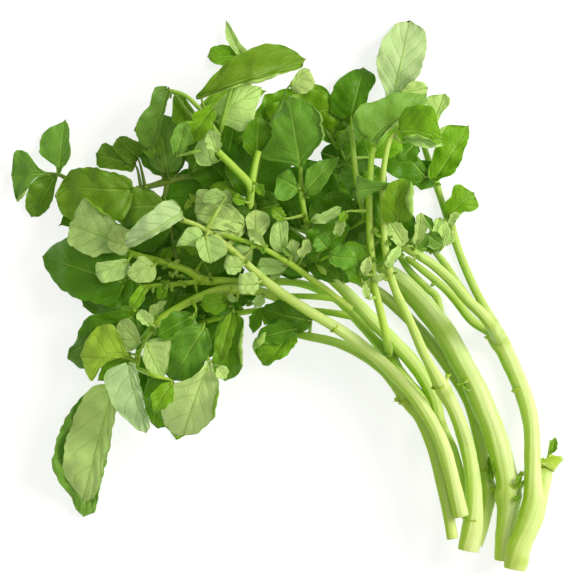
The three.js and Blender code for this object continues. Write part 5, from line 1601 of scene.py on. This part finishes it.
def torn_sheath(route, sheath, number):
    """A ragged ring of leaf base left round a joint: its points, faces and how torn each is."""
    x, y, length, flare = sheath
    index = int(np.argmin(np.hypot(route[:, 0] - x, route[:, 1] - y)))
    place, along, side, up = frame_at(route, index, 1)
    radius = route[index, 3]
    around = np.arange(SHEATH_SIDES) * 2 * np.pi / SHEATH_SIDES
    share = np.linspace(0, 1, SHEATH_ROWS)[:, None]
    outward = math.atan2(0.6, float(np.dot((x, y) - place[:2], side[:2])) or 1.0)
    ragged = np.array([draw(number, 100 + k) for k in range(SHEATH_SIDES)])
    near = 0.5 + 0.5 * np.cos(around - outward)
    cover = np.clip((near - 0.45) / 0.35, 0, 1)
    ragged = 0.25 + (0.3 + 0.7 * ragged) * (0.25 + 0.75 * near)
    wave = 0.7 + 0.6 * np.abs(np.sin(3 * around + 6 * draw(number, 98)))
    grids = []
    for lift in (0.0, -0.34):
        out = radius * (0.86 + 0.2 * share * cover) + lift
        out = out + flare * ragged * wave * cover * share ** 1.3
        step = (share - 0.35) * length * ragged
        grid = (place + along * step[..., None] + side * (out * np.cos(around))[..., None]
                + up * (out * np.sin(around))[..., None])
        grid[..., 2] = np.maximum(grid[..., 2], LOWEST_TOP if lift == 0 else 0.05)
        grids.append(grid)
    torn = np.broadcast_to(share, grids[0].shape[:2])
    return grids[0], grids[1], torn


def cut_disc(route, at_end):
    """The cut end of a stem: two closed grids, with the share of the radius at each point."""
    index, forward = (len(route) - 1, 1) if at_end else (0, -1)
    place, along, side, up = frame_at(route, index, forward)
    radius = 0.93 * route[index, 3]
    around = np.arange(SHEATH_SIDES) * 2 * np.pi / SHEATH_SIDES
    share = np.array([0.02, 0.12, 0.26, 0.4, 0.6, 0.8, 0.93, 1.0])[:, None]
    hollow = 0.5 * np.exp(-(share / 0.22) ** 2) + 0.12 * np.sin(9 * share)
    front = 0.16 + 0.14 * np.cos(12 * around) * share - hollow * min(1, radius / 3)
    grids = []
    for depth in (front, -0.5 + 0 * front):
        reach = radius * share * (1 + 0.01 * np.sin(7 * around))
        grid = (place + along * depth[..., None] + side * (reach * np.cos(around))[..., None]
                + up * (reach * np.sin(around))[..., None])
        grid[..., 2] = np.maximum(grid[..., 2], LOWEST)
        grids.append(grid)
    return grids[0], grids[1], np.broadcast_to(share, front.shape)


def build_bands(plant, label, forms, finish, tints, turned=False):
    """One piece: closed bands, tinted from the first tint to the second by their share."""
    points, faces, shares, first = [], [], [], 0
    for outer, inner, share in forms:
        points += [outer.reshape(-1, 3), inner.reshape(-1, 3)]
        band = closed_band(*share.shape, first)
        faces += [face[::-1] for face in band] if turned else band
        shares += [share.ravel(), share.ravel()]
        first += 2 * share.size
    share = np.concatenate(shares)
    tint = tints[0] + (tints[1] - tints[0]) * (0.35 + 0.65 * share[:, None])
    smooth_piece(plant, label, np.concatenate(points), faces, {"tint": tint, "share": share},
                 finish)


def build_details(plant, number, sheath_finish, cut_finish):
    """Two pieces: the torn sheaths of the leafy stem and its cut ends, which all of them have."""
    skin, ragged = linear(STEM_COLOURS[plant.name][0]), linear(RAGGED)
    sheaths = [torn_sheath(plant.fine[line], rest, 31 * number + k)
               for k, (line, *rest) in enumerate(SHEATHS[plant.name])]
    ends = [cut_disc(plant.fine[line], at_end) for line, at_end in CUT_ENDS[plant.name]]
    build_bands(plant, "sheaths", sheaths, sheath_finish, (skin, ragged))
    build_bands(plant, "cut_ends", ends, cut_finish, (skin, skin), turned=True)


def sheath_material():
    """Torn leaf base: fibrous, yellow-green, browner and more frayed towards its edge."""
    material, n = new_material("Torn sheath", (150, 196, 30))
    tint, share = n.attribute("tint", "Color"), n.attribute("share")
    place = n.object_place()
    fibre = n.noise(place, 1500.0, 4.0, 0.65)
    cloud = n.noise(place, 260.0, 2.0)
    dark = n.mix(1.0, tint, (0.66, 0.78, 0.4, 1.0), "MULTIPLY")
    colour = n.mix(n.span(fibre, 0.4, 0.65), dark, tint)
    ragged = n.times(n.span(cloud, 0.5, 0.7), n.span(share, 0.6, 1.0, 0.0, 0.5))
    colour = n.mix(ragged, colour, opaque((110, 150, 24)))
    relief = n.plus(n.times(fibre, 0.8), n.times(cloud, 0.6))
    finish_material(n, colour, 0.55, relief, 0.0003, Subsurface_Weight=0.2,
                    Subsurface_Radius=(0.8, 1.0, 0.3), Subsurface_Scale=0.002, IOR=1.4,
                    Specular_IOR_Level=0.25)
    return material


def cut_material():
    """Cut end of a stem: pale moist pith with a ring of strands, a green skin, and painted shade at its
    hollow centre.
    """
    material, n = new_material("Cut stem", (222, 234, 176))
    tint, share = n.attribute("tint", "Color"), n.attribute("share")
    place = n.object_place()
    grain = n.noise(place, 1800.0, 3.0, 0.6)
    cells = n.add("ShaderNodeTexVoronoi", {"feature": "F1"}, Vector=place,
                  Scale=1400.0).outputs["Distance"]
    pith = n.mix(n.span(grain, 0.35, 0.65), opaque((206, 222, 146)),
                 opaque((236, 242, 204)))
    ring = n.times(n.span(share, 0.6, 0.72), n.span(share, 0.84, 0.93, 1.0, 0.0))
    strands = n.times(ring, n.span(cells, 0.25, 0.55, 1.0, 0.0))
    colour = n.mix(n.times(strands, 0.6), pith, opaque((148, 176, 60)))
    colour = n.mix(n.span(share, 0.86, 0.99), colour, tint)
    # Painted shade: the middle of the cut, where the stem is hollow, is mixed darker as the shade
    # inside it.
    colour = n.mix(n.span(share, 0.1, 0.24, 0.5, 0.0), colour, opaque((120, 140, 60)))
    relief = n.plus(n.times(grain, 0.6), n.times(strands, 0.6))
    finish_material(n, colour, 0.38, relief, 0.00025, Subsurface_Weight=0.3,
                    Subsurface_Radius=(1.0, 1.2, 0.5), Subsurface_Scale=0.003, IOR=1.38,
                    Specular_IOR_Level=0.4)
    return material


def bud_tree():
    """Node tree that sets a small cupped bud on each point, turned and sized by its attributes."""
    tree, n, given = new_tree("Axil buds", {
        "Places": "Geometry", "Bud length": "Float", "Slimness": "Float", "Size spread": "Float",
        "Seed": "Int", "Material": "Material"}, "Buds")
    ball = n.add("GeometryNodeMeshUVSphere", Segments=10, Rings=7, Radius=0.5)
    x, y, z = n.apart(n.add("GeometryNodeInputPosition").outputs[0])
    cup, rise = n.times(n.times(y, y), 0.9), n.times(n.times(x, x), 0.5)
    height = n.plus(n.times(z, 0.26), n.plus(cup, rise))
    shape = n.together(X=n.plus(x, 0.46), Y=n.times(y, given["Slimness"]), Z=height)
    bud = n.add("GeometryNodeSetPosition", Geometry=ball.outputs["Mesh"], Position=shape)
    spread = n.add("FunctionNodeRandomValue", {"data_type": "FLOAT"}, Seed=given["Seed"])
    n.put(spread.inputs[2], 1.0)
    n.put(spread.inputs[3], given["Size spread"])
    size = n.times(given["Bud length"], spread.outputs[1])
    placed = n.add("GeometryNodeInstanceOnPoints", Points=given["Places"], Instance=bud.outputs[0],
                   Rotation=n.named("turn", "FLOAT_VECTOR"), Scale=size)
    real = n.add("GeometryNodeRealizeInstances", Geometry=placed.outputs[0])
    smooth = n.add("GeometryNodeSetShadeSmooth", Geometry=real.outputs[0])
    dressed = n.add("GeometryNodeSetMaterial", Geometry=smooth.outputs[0],
                    Material=given["Material"])
    n.add("NodeGroupOutput", Buds=dressed.outputs[0])
    return tree


def bud_places(plant):
    """Where the buds of one leafy stem sit: on top of its joints, fanning out."""
    places, turns, tints = [], [], []
    green, young = linear(BUD_GREEN), linear(BUD_YOUNG)
    for x, y, spread, count in BUD_CLUSTERS.get(plant.name, ()):
        centre = nearest_on(plant.fine, x, y)
        for k in range(count):
            number = round(13 * x + 7 * y) + 29 * k
            angle = 2 * math.pi * draw(number, 1)
            reach = spread * math.sqrt(draw(number, 2))
            height = max(centre[2] + 0.6 * centre[3], 0.6) + 0.8 * draw(number, 3)
            places.append((x + reach * math.cos(angle), y + reach * math.sin(angle), height))
            turns.append((0.5 * (draw(number, 4) - 0.5), -0.5 * draw(number, 5), angle))
            tints.append(green + (young - green) * draw(number, 6))
    return places, turns, tints


def build_buds(plant, settings, material, tree):
    """One piece where the leafy stem has buds: all of them."""
    places, turns, tints = bud_places(plant)
    if not places:
        return
    piece = new_piece(plant, "buds", places, [], [], {"turn": turns, "tint": tints})
    apply_tree(piece, tree, {"Bud length": settings.bud_length, "Slimness": settings.bud_width,
                             "Size spread": BUD_SPREAD, "Seed": BUD_SEED, "Material": material})
    claim(piece, plant.name)


def bud_material():
    """Buds and leaflets just opening: tender green, paler on their backs, lightly veined."""
    material, n = new_material("Axil bud", (140, 184, 54))
    tint = n.attribute("tint", "Color")
    place = n.object_place()
    fine = n.noise(place, 1400.0, 3.0, 0.6)
    broad = n.noise(place, 380.0, 2.0)
    dark = n.mix(1.0, tint, (0.5, 0.66, 0.32, 1.0), "MULTIPLY")
    colour = n.mix(n.span(broad, 0.38, 0.62), dark, tint)
    colour = n.mix(n.span(fine, 0.5, 0.72, 0.0, 0.35), colour, opaque((206, 222, 140)))
    relief = n.plus(fine, n.times(broad, 0.8))
    finish_material(n, colour, 0.48, relief, 0.0002, Subsurface_Weight=0.15,
                    Subsurface_Radius=(0.5, 1.0, 0.25), Subsurface_Scale=0.001, IOR=1.4,
                    Specular_IOR_Level=0.2)
    return material


# Operators
class WATERCRESS_OT_stems(bpy.types.Operator):
    """Make the ribbed stems, their branches and the leaf stalks"""

    bl_idname = "watercress.stems"
    bl_label = "Stems and stalks"

    def execute(self, context):
        material, tree = stem_material(), stem_tree()
        for plant in lay_bunch():
            build_stems(plant, context.scene.watercress_stem, material, tree)
        return {"FINISHED"}


class WATERCRESS_OT_leaves(bpy.types.Operator):
    """Make the leaf blades of every leafy stem"""

    bl_idname = "watercress.leaves"
    bl_label = "Leaf blades"

    def execute(self, context):
        material = leaf_material()
        for plant in lay_bunch():
            build_blades(plant, context.scene.watercress_leaf, material)
        return {"FINISHED"}


class WATERCRESS_OT_details(bpy.types.Operator):
    """Make the torn sheaths at the joints and the cut ends of the stems"""

    bl_idname = "watercress.details"
    bl_label = "Torn sheaths and cut ends"

    def execute(self, context):
        sheath_finish, cut_finish = sheath_material(), cut_material()
        for number, plant in enumerate(lay_bunch()):
            build_details(plant, number, sheath_finish, cut_finish)
        return {"FINISHED"}


class WATERCRESS_OT_buds(bpy.types.Operator):
    """Make the small buds in the leaf axils"""

    bl_idname = "watercress.buds"
    bl_label = "Axil buds"

    def execute(self, context):
        material, tree = bud_material(), bud_tree()
        for plant in lay_bunch():
            build_buds(plant, context.scene.watercress_stem, material, tree)
        return {"FINISHED"}


class WATERCRESS_OT_stage(bpy.types.Operator):
    """Make the pale floor, the soft lights and the camera above"""

    bl_idname = "watercress.stage"
    bl_label = "Studio"

    def execute(self, context):
        settings = context.scene.watercress_stage
        build_floor(settings)
        build_lights(settings)
        build_camera(settings)
        return {"FINISHED"}


def build_floor(settings):
    """The pale floor, lit a little from within."""
    half = FLOOR_HALF
    mesh = bpy.data.meshes.new("floor")
    mesh.from_pydata([(-half, -half, 0), (half, -half, 0), (half, half, 0), (-half, half, 0)],
                     [], [(0, 1, 2, 3)])
    material, n = new_material("Studio floor", (250, 250, 250))
    place = n.object_place()
    grain = n.noise(place, 900.0, 2.0)
    white = (*settings.floor[:], 1.0)
    colour = n.mix(n.times(grain, 0.02), white, (0.9, 0.9, 0.9, 1.0))
    finish_material(n, colour, 0.7, grain, 0.00002, Emission_Color=(1, 1, 1, 1),
                    Emission_Strength=settings.glow)
    mesh.materials.append(material)
    floor = bpy.data.objects.new("floor", mesh)
    bpy.context.scene.collection.objects.link(floor)


def area_light(name, place, aim, size, power):
    """A round soft light at a place, turned to what it lights."""
    light = bpy.data.lights.new(name, "AREA")
    light.shape, light.size, light.energy = "DISK", size, power
    light.color = (1.0, 0.97, 0.88)
    lamp = bpy.data.objects.new(name, light)
    lamp.location = place
    direction = np.array(aim, float) - np.array(place, float)
    lamp.rotation_euler = Vector(direction).to_track_quat("-Z", "Y").to_euler()
    bpy.context.scene.collection.objects.link(lamp)


def build_lights(settings):
    """Even light from all round and one large soft light."""
    world = bpy.data.worlds.new("Even room light")
    world.use_nodes = True
    background = world.node_tree.nodes["Background"]
    background.inputs["Color"].default_value = (1.0, 0.99, 0.94, 1.0)
    background.inputs["Strength"].default_value = settings.sky
    bpy.context.scene.world = world
    area_light("key light", (0.95, 0.4, 0.8), (0, 0, 0.02), 0.7, settings.key)


def build_camera(settings):
    """Looks straight down on the bunch from far off, as the photograph does."""
    camera = bpy.data.cameras.new("camera")
    camera.lens, camera.sensor_width = settings.lens, 36.0
    camera.clip_start, camera.clip_end = 0.05, 20.0
    distance = settings.view_width * camera.lens / camera.sensor_width
    view = bpy.data.objects.new("camera", camera)
    view.location = (PLAN_TO_FRAME[0] * MM, PLAN_TO_FRAME[1] * MM, distance + 0.025)
    bpy.context.scene.collection.objects.link(view)
    bpy.context.scene.camera = view
    bpy.context.scene.view_settings.view_transform = "Standard"


class WATERCRESS_PT_panel(bpy.types.Panel):
    """The bunch's pieces and their sizes and colours"""

    bl_label = "Cut watercress bunch"
    bl_space_type = "VIEW_3D"
    bl_region_type = "UI"
    bl_category = "Watercress"

    def draw(self, context):
        for group, operators in PANEL_ROWS:
            box = self.layout.box()
            for operator in operators:
                box.operator(operator.bl_idname)
            settings = getattr(context.scene, group)
            for key in settings.bl_rna.properties.keys():
                if key not in ("rna_type", "name"):
                    box.prop(settings, key)


PANEL_ROWS = (
    ("watercress_stem", (WATERCRESS_OT_stems, WATERCRESS_OT_details, WATERCRESS_OT_buds)),
    ("watercress_leaf", (WATERCRESS_OT_leaves,)),
    ("watercress_stage", (WATERCRESS_OT_stage,)),
)
SETTINGS = (
    ("watercress_stem", WatercressStemSettings),
    ("watercress_leaf", WatercressLeafSettings),
    ("watercress_stage", WatercressStageSettings),
)
OPERATORS = (WATERCRESS_OT_stems, WATERCRESS_OT_details, WATERCRESS_OT_buds,
             WATERCRESS_OT_leaves, WATERCRESS_OT_stage)


def register():
    """Adds the settings, the operators and the panel to Blender."""
    for name, group in SETTINGS:
        bpy.utils.register_class(group)
        setattr(bpy.types.Scene, name, bpy.props.PointerProperty(type=group))
    for operator in OPERATORS:
        bpy.utils.register_class(operator)
    bpy.utils.register_class(WATERCRESS_PT_panel)


def unregister():
    """Takes them out again."""
    bpy.utils.unregister_class(WATERCRESS_PT_panel)
    for operator in reversed(OPERATORS):
        bpy.utils.unregister_class(operator)
    for name, group in reversed(SETTINGS):
        delattr(bpy.types.Scene, name)
        bpy.utils.unregister_class(group)


def main():
    """Builds the bunch and its studio."""
    register()
    bpy.ops.watercress.stems()
    bpy.ops.watercress.details()
    bpy.ops.watercress.buds()
    bpy.ops.watercress.leaves()
    bpy.ops.watercress.stage()
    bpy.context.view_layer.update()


if __name__ == "__main__":
    main()
